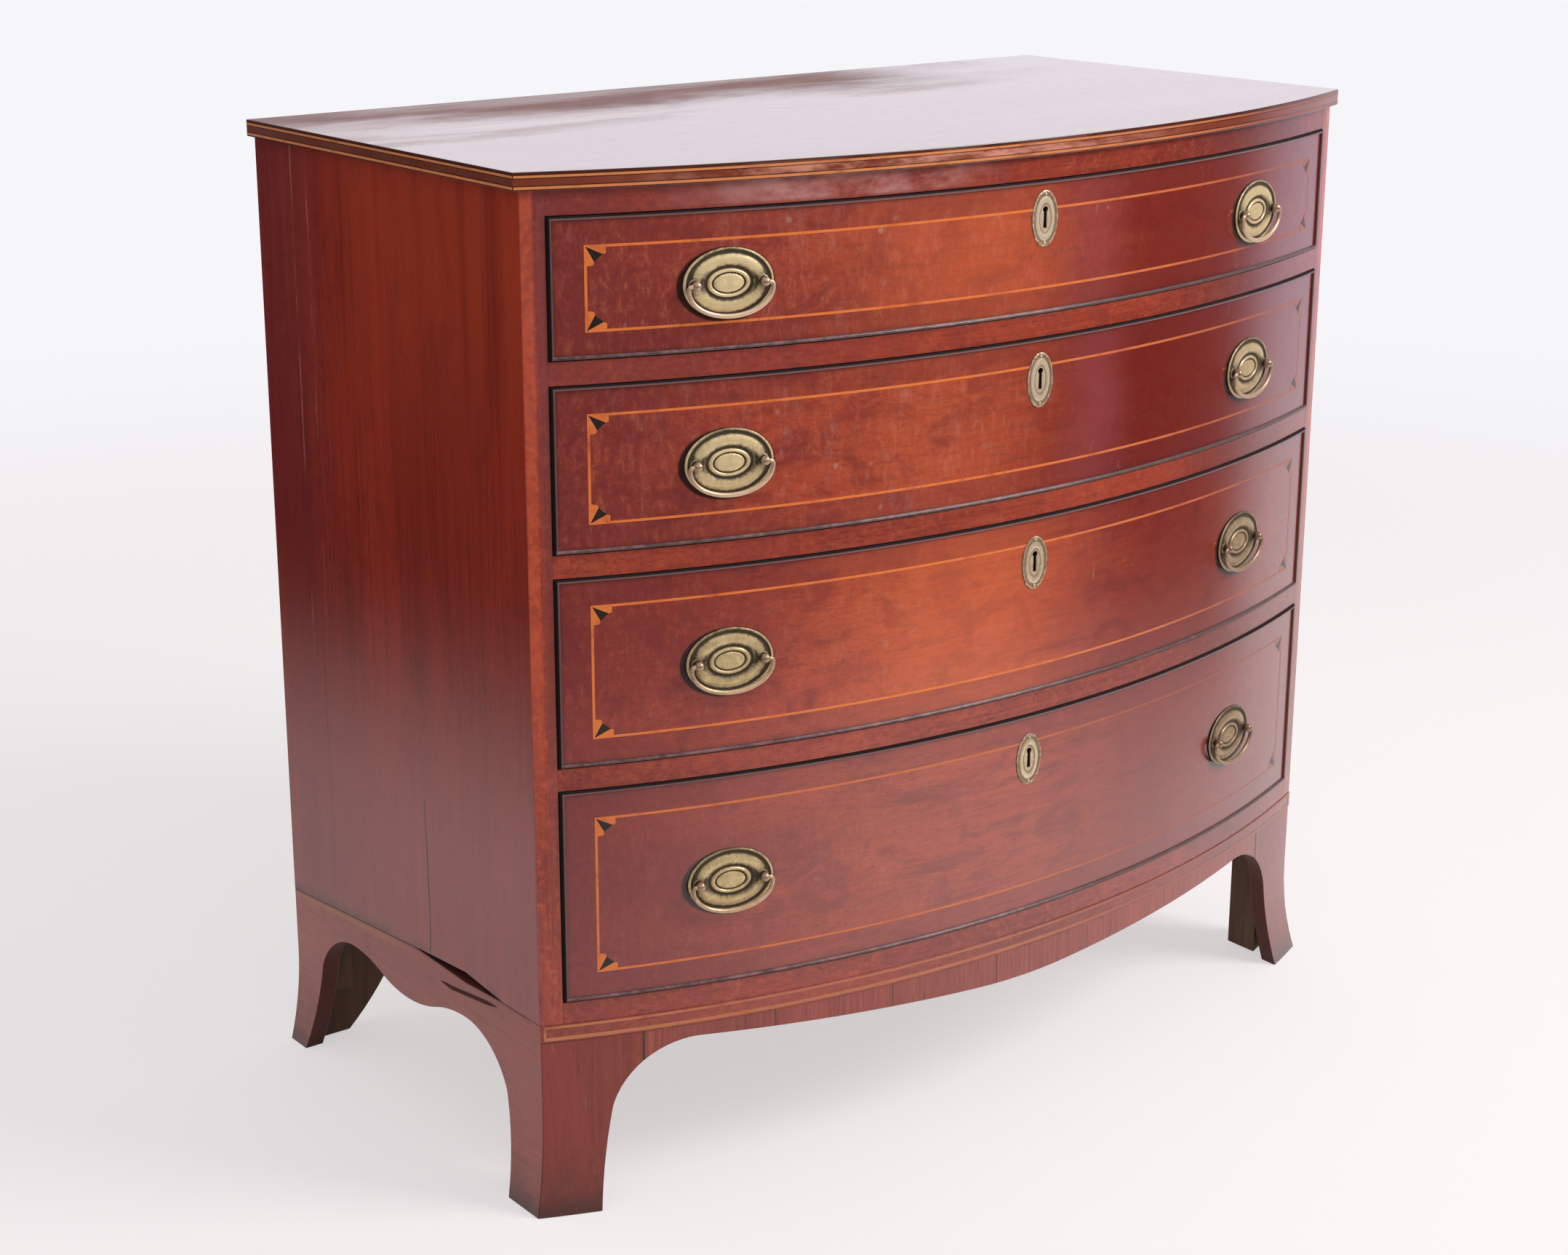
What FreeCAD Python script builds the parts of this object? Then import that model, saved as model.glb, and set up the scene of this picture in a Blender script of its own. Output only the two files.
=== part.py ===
import FreeCAD, Part
import math
import os
import Sketcher
from FreeCAD import Placement, Rotation, Vector

# Bow front chest of four graduated drawers on splayed bracket feet.
# X runs to the right as one faces the chest, Y to the back, Z up.
# The origin is on the floor, under the middle of the whole chest.

# ---------------------------------------------------------------- driving sizes, in millimetres
SIZES = {
    # case
    "case_width": 1000,             # over the side boards
    "case_depth": 472,              # front corner of a side board to the back
    "bow_rise": 104.5,              # how far the middle of the front stands before its corners
    "side_thickness": 19.5,
    "facing_thickness": 1.6,        # veneer on the front edges of the sides
    "top_thickness": 16,
    "top_side_overhang": 8,
    "top_front_overhang": 6,
    "housing_depth": 7,             # rails and boards are let into the sides by this much
    # heights, from the floor up
    "base_height": 172,             # floor to the underside of the base band
    "band_height": 17,
    "band_proud": 0.8,
    "bottom_rail_height": 21,
    "drawer_4_opening": 205.5,
    "drawer_3_opening": 176,
    "drawer_2_opening": 150,
    "drawer_1_opening": 124.5,
    "divider_height": 21,
    "top_rail_height": 22,
    "rail_depth": 62,               # behind the front corners
    "bottom_board_thickness": 15,
    "runner_width": 42,
    "back_rail_depth": 45,
    "back_board_thickness": 12,
    "back_rabbet_width": 10,
    "back_board_count": 5,
    "back_board_gap": 0.8,
    # base boards, feet and aprons
    "wall_thickness": 18,           # foot faces, front apron, base band and rear brackets
    "flare": 13.5,                  # how far a foot splays at the floor
    "flare_height": 100,            # height at which the splay starts
    "foot_width": 43,               # of one face of a front foot, at the floor
    "foot_lean": 19,                # how far its inner edge leans in at the flare height
    "front_arch_drop": 13,          # wood left over the front arch, under the base band
    "front_arch_start": 140,        # from the corner to the top of that arch
    "apron_drop": 32,               # depth of the front apron in the middle
    "apron_drop_round": 60,         # half length of the rounding there
    "foot_face_width": 90,          # corner to the joint with the front apron
    "side_arch_drop": 24,           # places of the side edge, down from the top of the front apron
    "side_arch_start": 133,         # and back from the front corner
    "side_drop": 44.5,
    "side_drop_place": 245,
    "rear_arch_drop": 26,
    "rear_arch_place": 347,
    "rear_foot_shoulder": 54,       # width of the rear foot at the flare height
    "rear_foot_width": 32,          # at the floor
    "seam_flat": 226,               # length of the level part of the joint over the base board
    "seam_fall": 20.5,              # how far the joint falls towards the back
    "seam_gap_start": 64,           # shrinkage gap in the left joint
    "seam_gap_peak": 130,
    "seam_gap_rise": 7,
    "seam_gap_fall": 4,
    "bracket_toe": 27.5,            # rear bracket: width at the floor, inside the base board
    "bracket_reach": 148.5,         # inside the base board too
    "bracket_height": 150,
    "bracket_curve": 300,           # radius of both halves of its ogee
    "block_width": 22,              # corner blocks behind the feet
    "block_floor_clearance": 4,
    "rear_block_start": 60,
    "glue_block_length": 70,
    "glue_block_width": 22,
    "glue_block_height": 33,
    "front_glue_place": 165,        # middle of a side glue block, from the front corner
    "rear_glue_place": 335,
    "apron_glue_place": 250,        # from the middle of the chest
    # drawers
    "drawer_gap": 1,                # round a drawer front and beside its sides
    "slide_clearance": 0.3,         # under the drawer sides
    "side_top_clearance": 2.5,
    "drawer_back_clearance": 8,
    "front_thickness": 22,
    "bead_thickness": 3.4,
    "bead_depth": 9.5,
    "bead_proud": 2.4,
    "drawer_side_thickness": 12,
    "drawer_back_thickness": 12,
    "drawer_back_lowered": 6,
    "drawer_bottom_thickness": 7,
    "drawer_bottom_height": 12,     # above the lower edge of the sides
    "groove_depth": 6,
    "blind_lap": 11,                # wood left in front of the dovetails
    "tail_pitch": 48,               # aimed spacing of the dovetails
    "stop_height": 8,
    "stop_length": 44,
    "stop_depth": 14,
    "stop_place": 250,
    "stop_clearance": 0.3,
    # brasses
    "handle_inset": 172,            # plate centre in from the outside of the case
    "plate_width": 84,
    "plate_height": 62,
    "plate_thickness": 1.2,
    "plate_rim_width": 7,
    "plate_rim_height": 2.6,
    "boss_width": 40,
    "boss_height": 26,
    "boss_rise": 3,
    "post_spacing": 63.5,
    "shank_width": 4.4,             # the posts have square shanks
    "shank_tail": 5,                # what stands out behind for the nut
    "knuckle_radius": 4.2,          # round head of a post, bored for the bail
    "knuckle_length": 8.4,
    "pin_height": 7.4,              # hinge line of the bail before the drawer front
    "pin_radius": 1.8,
    "pin_clearance": 0.05,
    "bail_beyond_post": 7.45,       # centre line of the bail outside that of its post
    "bail_drop": 28,
    "bail_radius": 2.2,
    "handle_1_height": 863.7,
    "handle_2_height": 705,
    "handle_3_height": 522.5,
    "handle_4_height": 311,
    "escutcheon_width": 32,
    "escutcheon_height": 52,
    "escutcheon_thickness": 1.4,
    "keyhole_radius": 2.7,
    "keyhole_slot_width": 3,
    "keyhole_slot_length": 17,      # below the middle of its round part
    "escutcheon_drop": 8.7,         # escutcheon's middle below that of the round part
    "key_drop_1": 27.3,             # round part below the top of its opening
    "key_drop_2": 31.8,
    "key_drop_3": 37.3,
    "key_drop_4": 37.8,
    "lock_width": 58,
    "lock_below_keyhole": 7,
    "lock_setback": 12,             # from the face of the drawer front
    "lock_thickness": 11,
    "bolt_width": 16,
    "bolt_thickness": 5,
    "bolt_height": 16,
    "bolt_clearance": 0.3,
    "mortise_clearance": 1,
    "mortise_depth": 9,
}

doc = FreeCAD.newDocument("BowFrontChest")
sheet = doc.addObject("Spreadsheet::Sheet", "Sizes")
for line, (alias, number) in enumerate(SIZES.items(), start=1):
    sheet.set(f"A{line}", alias)
    sheet.set(f"B{line}", str(number))
    sheet.setAlias(f"B{line}", alias)
doc.recompute()

DRAWER_COUNT = 4
NUMBERS = range(1, DRAWER_COUNT + 1)            # drawers, from the top down

# ---------------------------------------------------------------- places worked out from the sizes
HALF_WIDTH = "(Sizes.case_width / 2)"
HALF_INSIDE = "(Sizes.case_width / 2 - Sizes.side_thickness)"
HALF_HOUSED = f"({HALF_INSIDE} + Sizes.housing_depth)"
BACK = "((Sizes.case_depth + Sizes.bow_rise + Sizes.top_front_overhang) / 2)"
CORNER = f"({BACK} - Sizes.case_depth)"
BOW_RADIUS = "((Sizes.case_width ^ 2 / 4 + Sizes.bow_rise ^ 2) / (2 * Sizes.bow_rise))"
BOW_CENTRE = f"({CORNER} + {BOW_RADIUS} - Sizes.bow_rise)"
FRONT = f"({CORNER} - Sizes.bow_rise - Sizes.top_front_overhang)"
BACK_BOARD_FACE = f"({BACK} - Sizes.back_board_thickness)"
BAND_TOP = "(Sizes.base_height + Sizes.band_height)"
FLOOR = {DRAWER_COUNT: f"({BAND_TOP} + Sizes.bottom_rail_height)"}
CEILING = {}
for n in reversed(NUMBERS):
    CEILING[n] = f"({FLOOR[n]} + Sizes.drawer_{n}_opening)"
    FLOOR[n - 1] = f"({CEILING[n]} + Sizes.divider_height)"
TOP_UNDERSIDE = f"({CEILING[1]} + Sizes.top_rail_height)"
SPARE = 30                          # how far a cutting solid runs past what it cuts
MARGIN = 1                          # keeps the points of an outline off its own axes


def value(expression):
    """The number that an expression on the sizes gives now."""
    result = sheet.evalExpression(str(expression).replace("Sizes.", "."))
    return float(getattr(result, "Value", result))


# ---------------------------------------------------------------- small makers of bound objects
def bind(thing, **expressions):
    for name, expression in expressions.items():
        thing.setExpression(name.replace("__", "."), str(expression))
    return thing


def place(thing, x=0, y=0, z=0):
    return bind(thing, Placement__Base__x=x, Placement__Base__y=y, Placement__Base__z=z)


def box(label, low, size):
    thing = doc.addObject("Part::Box", label)
    bind(thing, Length=size[0], Width=size[1], Height=size[2])
    return place(thing, *low)


def combine(kind, label, base, tool):
    thing = doc.addObject(kind, label)
    thing.Base = base
    thing.Tool = tool
    return thing


def cut(label, base, *tools):
    for count, tool in enumerate(tools, start=1):
        name = label if count == len(tools) else f"{label}_cut_{count}"
        base = combine("Part::Cut", name, base, tool)
    return base


def common(label, base, tool):
    return combine("Part::Common", label, base, tool)


def fuse(label, *members):
    thing = doc.addObject("Part::MultiFuse", label)
    thing.Shapes = list(members)
    return thing


def group(label, *members):
    thing = doc.addObject("Part::Compound", label)
    thing.Links = list(members)
    return thing


def mirrored(label, source):
    """The same piece on the other side of the chest."""
    thing = doc.addObject("Part::Mirroring", label)
    thing.Source = source
    thing.Normal = Vector(1, 0, 0)
    return thing


def origin_plane(body, role):
    return [feature for feature in body.Origin.OriginFeatures if feature.Role == role][0]


def arc_between(start, end, radius, turn):
    """The shorter arc from start to end, with its centre to the left or the right of the way there."""
    chord = end - start
    reach = math.sqrt(radius ** 2 - chord.Length ** 2 / 4)
    to_left = Vector(-chord.y, chord.x, 0).normalize()
    middle = (start + end) / 2 + to_left * (reach if turn == "left" else -reach)
    ends = (start, end) if turn == "left" else (end, start)
    first, last = (math.atan2(point.y - middle.y, point.x - middle.x) for point in ends)
    if last < first:
        last += 2 * math.pi
    return Part.ArcOfCircle(Part.Circle(middle, Vector(0, 0, 1), radius), first, last)


def draw_outline(sketch, corners, arcs):
    """A closed outline. Side i runs from corner i to the next, straight or as an arc (radius, turn)."""
    points = [Vector(value(across), value(up), 0) for across, up in corners]
    beginnings = []
    for side, start in enumerate(points):
        end = points[(side + 1) % len(points)]
        if side in arcs:
            radius, turn = arcs[side]
            sketch.addGeometry(arc_between(start, end, value(radius), turn), False)
            number = sketch.addConstraint(Sketcher.Constraint("Radius", side, value(radius)))
            sketch.renameConstraint(number, f"radius_{side}")
            sketch.setExpression(f"Constraints.radius_{side}", str(radius))
            beginnings.append(1 if turn == "left" else 2)
        else:
            sketch.addGeometry(Part.LineSegment(start, end), False)
            beginnings.append(1)
    for side, beginning in enumerate(beginnings):
        before = (side - 1) % len(points)
        finish = 3 - beginnings[before]
        sketch.addConstraint(Sketcher.Constraint("Coincident", before, finish, side, beginning))
        for direction, expression in zip("XY", corners[side]):
            name = f"corner_{side}_{direction.lower()}"
            where = (-1, 1, side, beginning, value(expression))
            constraint = Sketcher.Constraint(f"Distance{direction}", *where)
            sketch.renameConstraint(sketch.addConstraint(constraint), name)
            sketch.setExpression(f"Constraints.{name}", str(expression))


def outline_body(label, plane, corners, arcs=None):
    """A body with one sketch, ready for a pad or a revolution."""
    body = doc.addObject("PartDesign::Body", label)
    sketch = body.newObject("Sketcher::SketchObject", f"{label}_outline")
    sketch.AttachmentSupport = [(origin_plane(body, plane), "")]
    sketch.MapMode = "FlatFace"
    draw_outline(sketch, corners, arcs or {})
    return body, sketch


def padded(label, plane, corners, length, at, arcs=None):
    body, sketch = outline_body(label, plane, corners, arcs)
    pad = body.newObject("PartDesign::Pad", f"{label}_pad")
    pad.Profile = sketch
    bind(pad, Length=length)
    return place(body, *at)


def turned(label, corners, at, arcs=None):
    """A ring turned about the upright axis through its own origin."""
    body, sketch = outline_body(label, "XZ_Plane", corners, arcs)
    ring = body.newObject("PartDesign::Revolution", f"{label}_turn")
    ring.Profile = sketch
    ring.ReferenceAxis = (sketch, ["V_Axis"])
    ring.Angle = 360
    return place(body, *at)


# The bow: one upright column per distance from the face of the case. What lies inside the
# column is behind that curved surface.
bow_columns = {}


def bow_column(outward="0"):
    if outward not in bow_columns:
        label = f"bow_column_{len(bow_columns) + 1}"
        radius = f"{BOW_RADIUS} + ({outward})"
        height = f"{TOP_UNDERSIDE} + 2 * Sizes.top_thickness + {2 * SPARE}"
        column = doc.addObject("Part::Cylinder", label)
        bind(column, Radius=radius, Height=height)
        bow_columns[outward] = place(column, 0, BOW_CENTRE, -SPARE)
    return bow_columns[outward]


def bowed_board(label, half_width, back, low, height, outward="0"):
    """A level board with a bowed front edge and a straight back edge."""
    blank = box(f"{label}_blank", (f"-{half_width}", f"{FRONT} - {SPARE}", low),
                (f"2 * {half_width}", f"{back} - {FRONT} + {SPARE}", height))
    return common(label, blank, bow_column(outward))


def bowed_strip(label, start, end, low, height, outward, inward):
    """A strip that follows the bow between two curved surfaces, cut off square at start and end."""
    depth = f"Sizes.bow_rise + Sizes.top_front_overhang + Sizes.case_depth / 2"
    blank = box(f"{label}_blank", (start, FRONT, low), (f"{end} - ({start})", depth, height))
    front = common(f"{label}_front", blank, bow_column(outward))
    return cut(label, front, bow_column(inward))


def level_radius(run, rise):
    """Radius of an arc that starts level and has risen or fallen by rise after run."""
    return f"((({run}) ^ 2 + ({rise}) ^ 2) / (2 * ({rise})))"


# ---------------------------------------------------------------- top board and stile facings
TOP_HALF = f"({HALF_WIDTH} + Sizes.top_side_overhang)"
top_board = bowed_board("top_board", TOP_HALF, BACK, TOP_UNDERSIDE, "Sizes.top_thickness",
                        "Sizes.top_front_overhang")
left_facing = bowed_strip("left_facing", f"-{HALF_WIDTH}", f"-{HALF_INSIDE}", BAND_TOP,
                          f"{TOP_UNDERSIDE} - {BAND_TOP}", "0", "-Sizes.facing_thickness")
stile_facings = group("stile_facings", left_facing, mirrored("right_facing", left_facing))

# ---------------------------------------------------------------- lock places, for the rails and the drawers
FACE_MIDDLE = f"({CORNER} - Sizes.bow_rise)"
BOLT_FACE = f"({FACE_MIDDLE} + Sizes.lock_setback + (Sizes.lock_thickness - Sizes.bolt_thickness) / 2)"
DRAWER_TOP = {n: f"({CEILING[n]} - Sizes.drawer_gap)" for n in NUMBERS}


def bolt_space(label, low, height, spare):
    """The room that a lock bolt needs, with some to spare on each side."""
    start = (f"-(Sizes.bolt_width / 2 + {spare})", f"{BOLT_FACE} - {spare}", low)
    size = (f"Sizes.bolt_width + 2 * {spare}", f"Sizes.bolt_thickness + 2 * {spare}", height)
    return box(label, start, size)


# ---------------------------------------------------------------- rails, dividers, bottom board, runners
RAIL_BACK = f"({CORNER} + Sizes.rail_depth)"
BOTTOM_UNDERSIDE = f"({FLOOR[DRAWER_COUNT]} - Sizes.bottom_board_thickness)"


def rail(label, low, height, mortise_for=None):
    blank = bowed_board(f"{label}_board", HALF_HOUSED, RAIL_BACK, low, height)
    if mortise_for is None:
        return cut(label, blank, stile_facings)
    mortise = bolt_space(f"{label}_mortise", DRAWER_TOP[mortise_for],
                         "Sizes.drawer_gap + Sizes.mortise_depth", "Sizes.mortise_clearance")
    return cut(label, blank, stile_facings, mortise)


top_rail = rail("top_rail", CEILING[1], "Sizes.top_rail_height", mortise_for=1)
dividers = [rail(f"divider_{n - 1}", CEILING[n], "Sizes.divider_height", mortise_for=n) for n in NUMBERS[1:]]
drawer_dividers = group("drawer_dividers", *dividers)
bottom_rail = rail("bottom_rail", BAND_TOP, "Sizes.bottom_rail_height")
bottom_board = box("bottom_board", (f"-{HALF_HOUSED}", RAIL_BACK, BOTTOM_UNDERSIDE),
                   (f"2 * {HALF_HOUSED}", f"{BACK_BOARD_FACE} - {RAIL_BACK}",
                    "Sizes.bottom_board_thickness"))
back_rail = box("back_rail",
                (f"-{HALF_HOUSED}", f"{BACK_BOARD_FACE} - Sizes.back_rail_depth", CEILING[1]),
                (f"2 * {HALF_HOUSED}", "Sizes.back_rail_depth", "Sizes.top_rail_height"))

runners = []
RUNNER_WIDTH = "Sizes.runner_width + Sizes.housing_depth"
for n in NUMBERS[1:]:
    size = (RUNNER_WIDTH, f"{BACK_BOARD_FACE} - {RAIL_BACK}", "Sizes.divider_height")
    runners.append(box(f"left_runner_{n - 1}", (f"-{HALF_HOUSED}", RAIL_BACK, CEILING[n]), size))
kicker_size = (RUNNER_WIDTH, f"{BACK_BOARD_FACE} - Sizes.back_rail_depth - {RAIL_BACK}",
               "Sizes.top_rail_height")
runners.append(box("left_kicker", (f"-{HALF_HOUSED}", RAIL_BACK, CEILING[1]), kicker_size))
runners += [mirrored(runner.Label.replace("left", "right"), runner) for runner in list(runners)]
runners_and_kickers = group("runners_and_kickers", *runners)

stops = []
for n in NUMBERS:
    near = "-(Sizes.front_thickness + Sizes.stop_clearance)"
    far = "-(Sizes.front_thickness + Sizes.stop_clearance + Sizes.stop_depth)"
    right_stop = bowed_strip(f"right_stop_{n}", "Sizes.stop_place - Sizes.stop_length / 2",
                             "Sizes.stop_place + Sizes.stop_length / 2", FLOOR[n], "Sizes.stop_height",
                             near, far)
    stops += [right_stop, mirrored(f"left_stop_{n}", right_stop)]
drawer_stops = group("drawer_stops", *stops)

# ---------------------------------------------------------------- back boards
BACK_HALF_WIDTH = f"({HALF_INSIDE} + Sizes.back_rabbet_width)"
back_height = f"({TOP_UNDERSIDE} - {BOTTOM_UNDERSIDE})"
board_count = int(value("Sizes.back_board_count"))
board_height = f"(({back_height} - {board_count - 1} * Sizes.back_board_gap) / {board_count})"
boards = []
for row in range(board_count):
    low = f"{BOTTOM_UNDERSIDE} + {row} * ({board_height} + Sizes.back_board_gap)"
    boards.append(box(f"back_board_{row + 1}", (f"-{BACK_HALF_WIDTH}", BACK_BOARD_FACE, low),
                      (f"2 * {BACK_HALF_WIDTH}", "Sizes.back_board_thickness", board_height)))
back_boards = group("back_boards", *boards)
back_space = box("back_space", (f"-{BACK_HALF_WIDTH}", BACK_BOARD_FACE, BOTTOM_UNDERSIDE),
                 (f"2 * {BACK_HALF_WIDTH}", "2 * Sizes.back_board_thickness", back_height))

# ---------------------------------------------------------------- side boards
# Level over the front half of the base board, then falling a little towards the back.
side_outline = [
    (MARGIN, BAND_TOP),
    (f"{SPARE} + Sizes.seam_flat", BAND_TOP),
    (f"{SPARE} + Sizes.case_depth", f"{BAND_TOP} - Sizes.seam_fall"),
    (f"{SPARE} + Sizes.case_depth", TOP_UNDERSIDE),
    (MARGIN, TOP_UNDERSIDE),
]
side_blank = padded("side_blank", "YZ_Plane", side_outline, "Sizes.side_thickness",
                    (f"-{HALF_WIDTH}", f"{CORNER} - {SPARE}", 0))
side_board = common("side_board", side_blank, bow_column("-Sizes.facing_thickness"))
side_housed = cut("side_housed", side_board, back_space, top_rail, drawer_dividers, bottom_rail,
                  bottom_board, back_rail, runners_and_kickers)
right_side = mirrored("right_side", side_housed)

# The shrinkage gap that has opened in the joint of the left side.
gap_outline = [
    ("Sizes.seam_gap_start", BAND_TOP),
    ("Sizes.seam_gap_peak", f"{BAND_TOP} - Sizes.seam_gap_fall"),
    ("Sizes.seam_flat", BAND_TOP),
    ("Sizes.seam_gap_peak", f"{BAND_TOP} + Sizes.seam_gap_rise"),
]
seam_gap = padded("seam_gap", "YZ_Plane", gap_outline, f"Sizes.side_thickness + {2 * SPARE}",
                  (f"-{HALF_WIDTH} - {SPARE}", CORNER, 0))
left_side = cut("left_side", side_housed, seam_gap)

# ---------------------------------------------------------------- base boards, foot faces and apron
# A flared board in section: upright above, and below the flare height swept out along an arc.
SWEEP = "((Sizes.flare_height ^ 2 + Sizes.flare ^ 2) / (2 * Sizes.flare))"


def flared_section(across, thickness, top, turns):
    """Corners and arcs of the section. across gives the place of a point so far in from the toe."""
    inner_toe = f"Sizes.flare - {SWEEP} + sqrt(({SWEEP} + {thickness}) ^ 2 - Sizes.flare_height ^ 2)"
    corners = [
        (across("0"), "0"),
        (across(inner_toe), "0"),
        (across(f"Sizes.flare + {thickness}"), "Sizes.flare_height"),
        (across(f"Sizes.flare + {thickness}"), top),
        (across("Sizes.flare"), top),
        (across("Sizes.flare"), "Sizes.flare_height"),
    ]
    return corners, {1: (f"{SWEEP} + {thickness}", turns[0]), 5: (SWEEP, turns[1])}


side_corners, side_arcs = flared_section(lambda inward: f"{MARGIN} + ({inward})", "Sizes.side_thickness",
                                         BAND_TOP, ("left", "right"))
base_blank = padded("base_blank", "XZ_Plane", side_corners, f"Sizes.case_depth + {SPARE}",
                    (f"-{HALF_WIDTH} - Sizes.flare - {MARGIN}", BACK, 0), side_arcs)
ring_corners, ring_arcs = flared_section(lambda inward: f"{BOW_RADIUS} + Sizes.flare - ({inward})",
                                         "Sizes.wall_thickness", "Sizes.base_height", ("right", "left"))
front_ring = turned("front_ring", ring_corners, (0, BOW_CENTRE, 0), ring_arcs)

# The mitre between a side face and the bowed front halves the angle of the corner. The block
# holds what belongs to the left side: it lies behind a plane through the front left corner.
MITRE = f"((90 deg - asin({HALF_WIDTH} / {BOW_RADIUS})) / 2)"
mitre_block = doc.addObject("Part::Box", "mitre_block")
bind(mitre_block, Length="2 * Sizes.case_depth", Width="Sizes.case_depth",
     Height=f"{BAND_TOP} + {2 * SPARE}")
mitre_block.Placement = Placement(Vector(0, 0, 0), Rotation(Vector(0, 0, 1), 1))
mitre_block.setExpression("Placement.Rotation.Angle", MITRE)
place(mitre_block, f"-{HALF_WIDTH} - Sizes.case_depth * cos({MITRE})",
      f"{CORNER} - Sizes.case_depth * sin({MITRE})", -SPARE)

# The voids under the aprons, whose upper edges shape the feet. Their outlines start at the
# front left corner, a little below the floor.
FOOT_KNEE = "(Sizes.foot_width + Sizes.foot_lean)"


def above(height):
    return f"({SPARE} + {height})"


def under_band(drop):
    """Height above the floor of a place so far below the base band."""
    return f"(Sizes.base_height - {drop})"


def knee_radius(start, height):
    return level_radius(f"{start} - {FOOT_KNEE}", f"{height} - Sizes.flare_height")


FRONT_ARCH = under_band("Sizes.front_arch_drop")
apron_fall = "(Sizes.apron_drop - Sizes.front_arch_drop)"
apron_slope = f"({apron_fall} / ({HALF_WIDTH} - Sizes.front_arch_start - Sizes.apron_drop_round / 2))"
drop_edge = above(f"{under_band('Sizes.apron_drop')} + {apron_slope} * Sizes.apron_drop_round / 2")
front_knee = knee_radius("Sizes.front_arch_start", FRONT_ARCH)
left_edge = [
    ("Sizes.foot_width", "0"),
    ("Sizes.foot_width", above("0")),
    (FOOT_KNEE, above("Sizes.flare_height")),
    ("Sizes.front_arch_start", above(FRONT_ARCH)),
    (f"{HALF_WIDTH} - Sizes.apron_drop_round", drop_edge),
]
right_edge = [(f"Sizes.case_width - ({across})", up) for across, up in reversed(left_edge)]
front_arcs = {2: (front_knee, "right"), 4: (f"Sizes.apron_drop_round / {apron_slope}", "left"),
              6: (front_knee, "right")}
front_void = padded("front_void", "XZ_Plane", left_edge + right_edge, "Sizes.case_depth",
                    (f"-{HALF_WIDTH}", f"{CORNER} + Sizes.case_depth / 2", -SPARE), front_arcs)


def wave_radius(start, end):
    """Radius of the two equal arcs that join one level place of a wavy edge to the next."""
    return level_radius(f"({end[0]} - {start[0]}) / 2", f"sqrt(({end[1]} - {start[1]}) ^ 2) / 2")


SIDE_ARCH, REAR_ARCH = (under_band(f"Sizes.{name}_arch_drop") for name in ("side", "rear"))
side_peak = ("Sizes.side_arch_start", above(SIDE_ARCH))
side_drop = ("Sizes.side_drop_place", above(under_band("Sizes.side_drop")))
rear_peak = ("Sizes.rear_arch_place", above(REAR_ARCH))
rear_shoulder = ("(Sizes.case_depth - Sizes.rear_foot_shoulder)", above("Sizes.flare_height"))
side_edge = [
    ("Sizes.foot_width", "0"),
    ("Sizes.foot_width", above("0")),
    (FOOT_KNEE, above("Sizes.flare_height")),
    side_peak,
    tuple(f"({a} + {b}) / 2" for a, b in zip(side_peak, side_drop)),
    side_drop,
    tuple(f"({a} + {b}) / 2" for a, b in zip(side_drop, rear_peak)),
    rear_peak,
    rear_shoulder,
    ("Sizes.case_depth - Sizes.rear_foot_width", above("0")),
    ("Sizes.case_depth - Sizes.rear_foot_width", "0"),
]
side_knee = knee_radius("Sizes.side_arch_start", SIDE_ARCH)
rear_knee = level_radius(f"{rear_shoulder[0]} - Sizes.rear_arch_place", f"{REAR_ARCH} - Sizes.flare_height")
front_wave = wave_radius(side_peak, side_drop)
rear_wave = wave_radius(side_drop, rear_peak)
side_edge_arcs = {2: (side_knee, "right"), 3: (front_wave, "right"), 4: (front_wave, "left"),
                  5: (rear_wave, "left"), 6: (rear_wave, "right"), 7: (rear_knee, "right")}
side_void = padded("side_void", "YZ_Plane", side_edge, f"{2 * SPARE} + Sizes.side_thickness",
                   (f"-{HALF_WIDTH} - {SPARE}", CORNER, -SPARE), side_edge_arcs)

base_shaped = cut("base_shaped", base_blank, side_blank, side_void)
left_base = common("left_base", base_shaped, mitre_block)
right_base_board = mirrored("right_base_board", left_base)
left_base_board = cut("left_base_board", left_base, seam_gap)

BEFORE_FRONT = f"{CORNER} - Sizes.case_depth / 2"
front_range = box("front_range", (f"-({HALF_WIDTH} + {2 * SPARE})", BEFORE_FRONT, -SPARE),
                  (f"Sizes.case_width + {4 * SPARE}", "Sizes.case_depth", f"{BAND_TOP} + {SPARE}"))
front_wall = cut("front_wall", common("front_board", front_ring, front_range), front_void)
apron_half = f"({HALF_WIDTH} - Sizes.foot_face_width)"
apron_range = box("apron_range", (f"-{apron_half}", BEFORE_FRONT, 0),
                  (f"2 * {apron_half}", "Sizes.case_depth", BAND_TOP))
front_apron = common("front_apron", front_wall, apron_range)
left_range = box("left_range", (f"-({HALF_WIDTH} + {2 * SPARE})", BEFORE_FRONT, -SPARE),
                 (f"Sizes.foot_face_width + {2 * SPARE}", "Sizes.case_depth", f"{BAND_TOP} + {SPARE}"))
left_foot_face = cut("left_foot_face", common("left_foot_board", front_wall, left_range), mitre_block)
foot_faces = group("foot_faces", left_foot_face, mirrored("right_foot_face", left_foot_face))

band_end = f"({HALF_WIDTH} + Sizes.wall_thickness)"
band_blank = bowed_strip("band_blank", f"-{band_end}", band_end, "Sizes.base_height", "Sizes.band_height",
                         "Sizes.band_proud", "-Sizes.wall_thickness")
base_band = cut("base_band", band_blank, mitre_block, mirrored("right_mitre_block", mitre_block))

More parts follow.
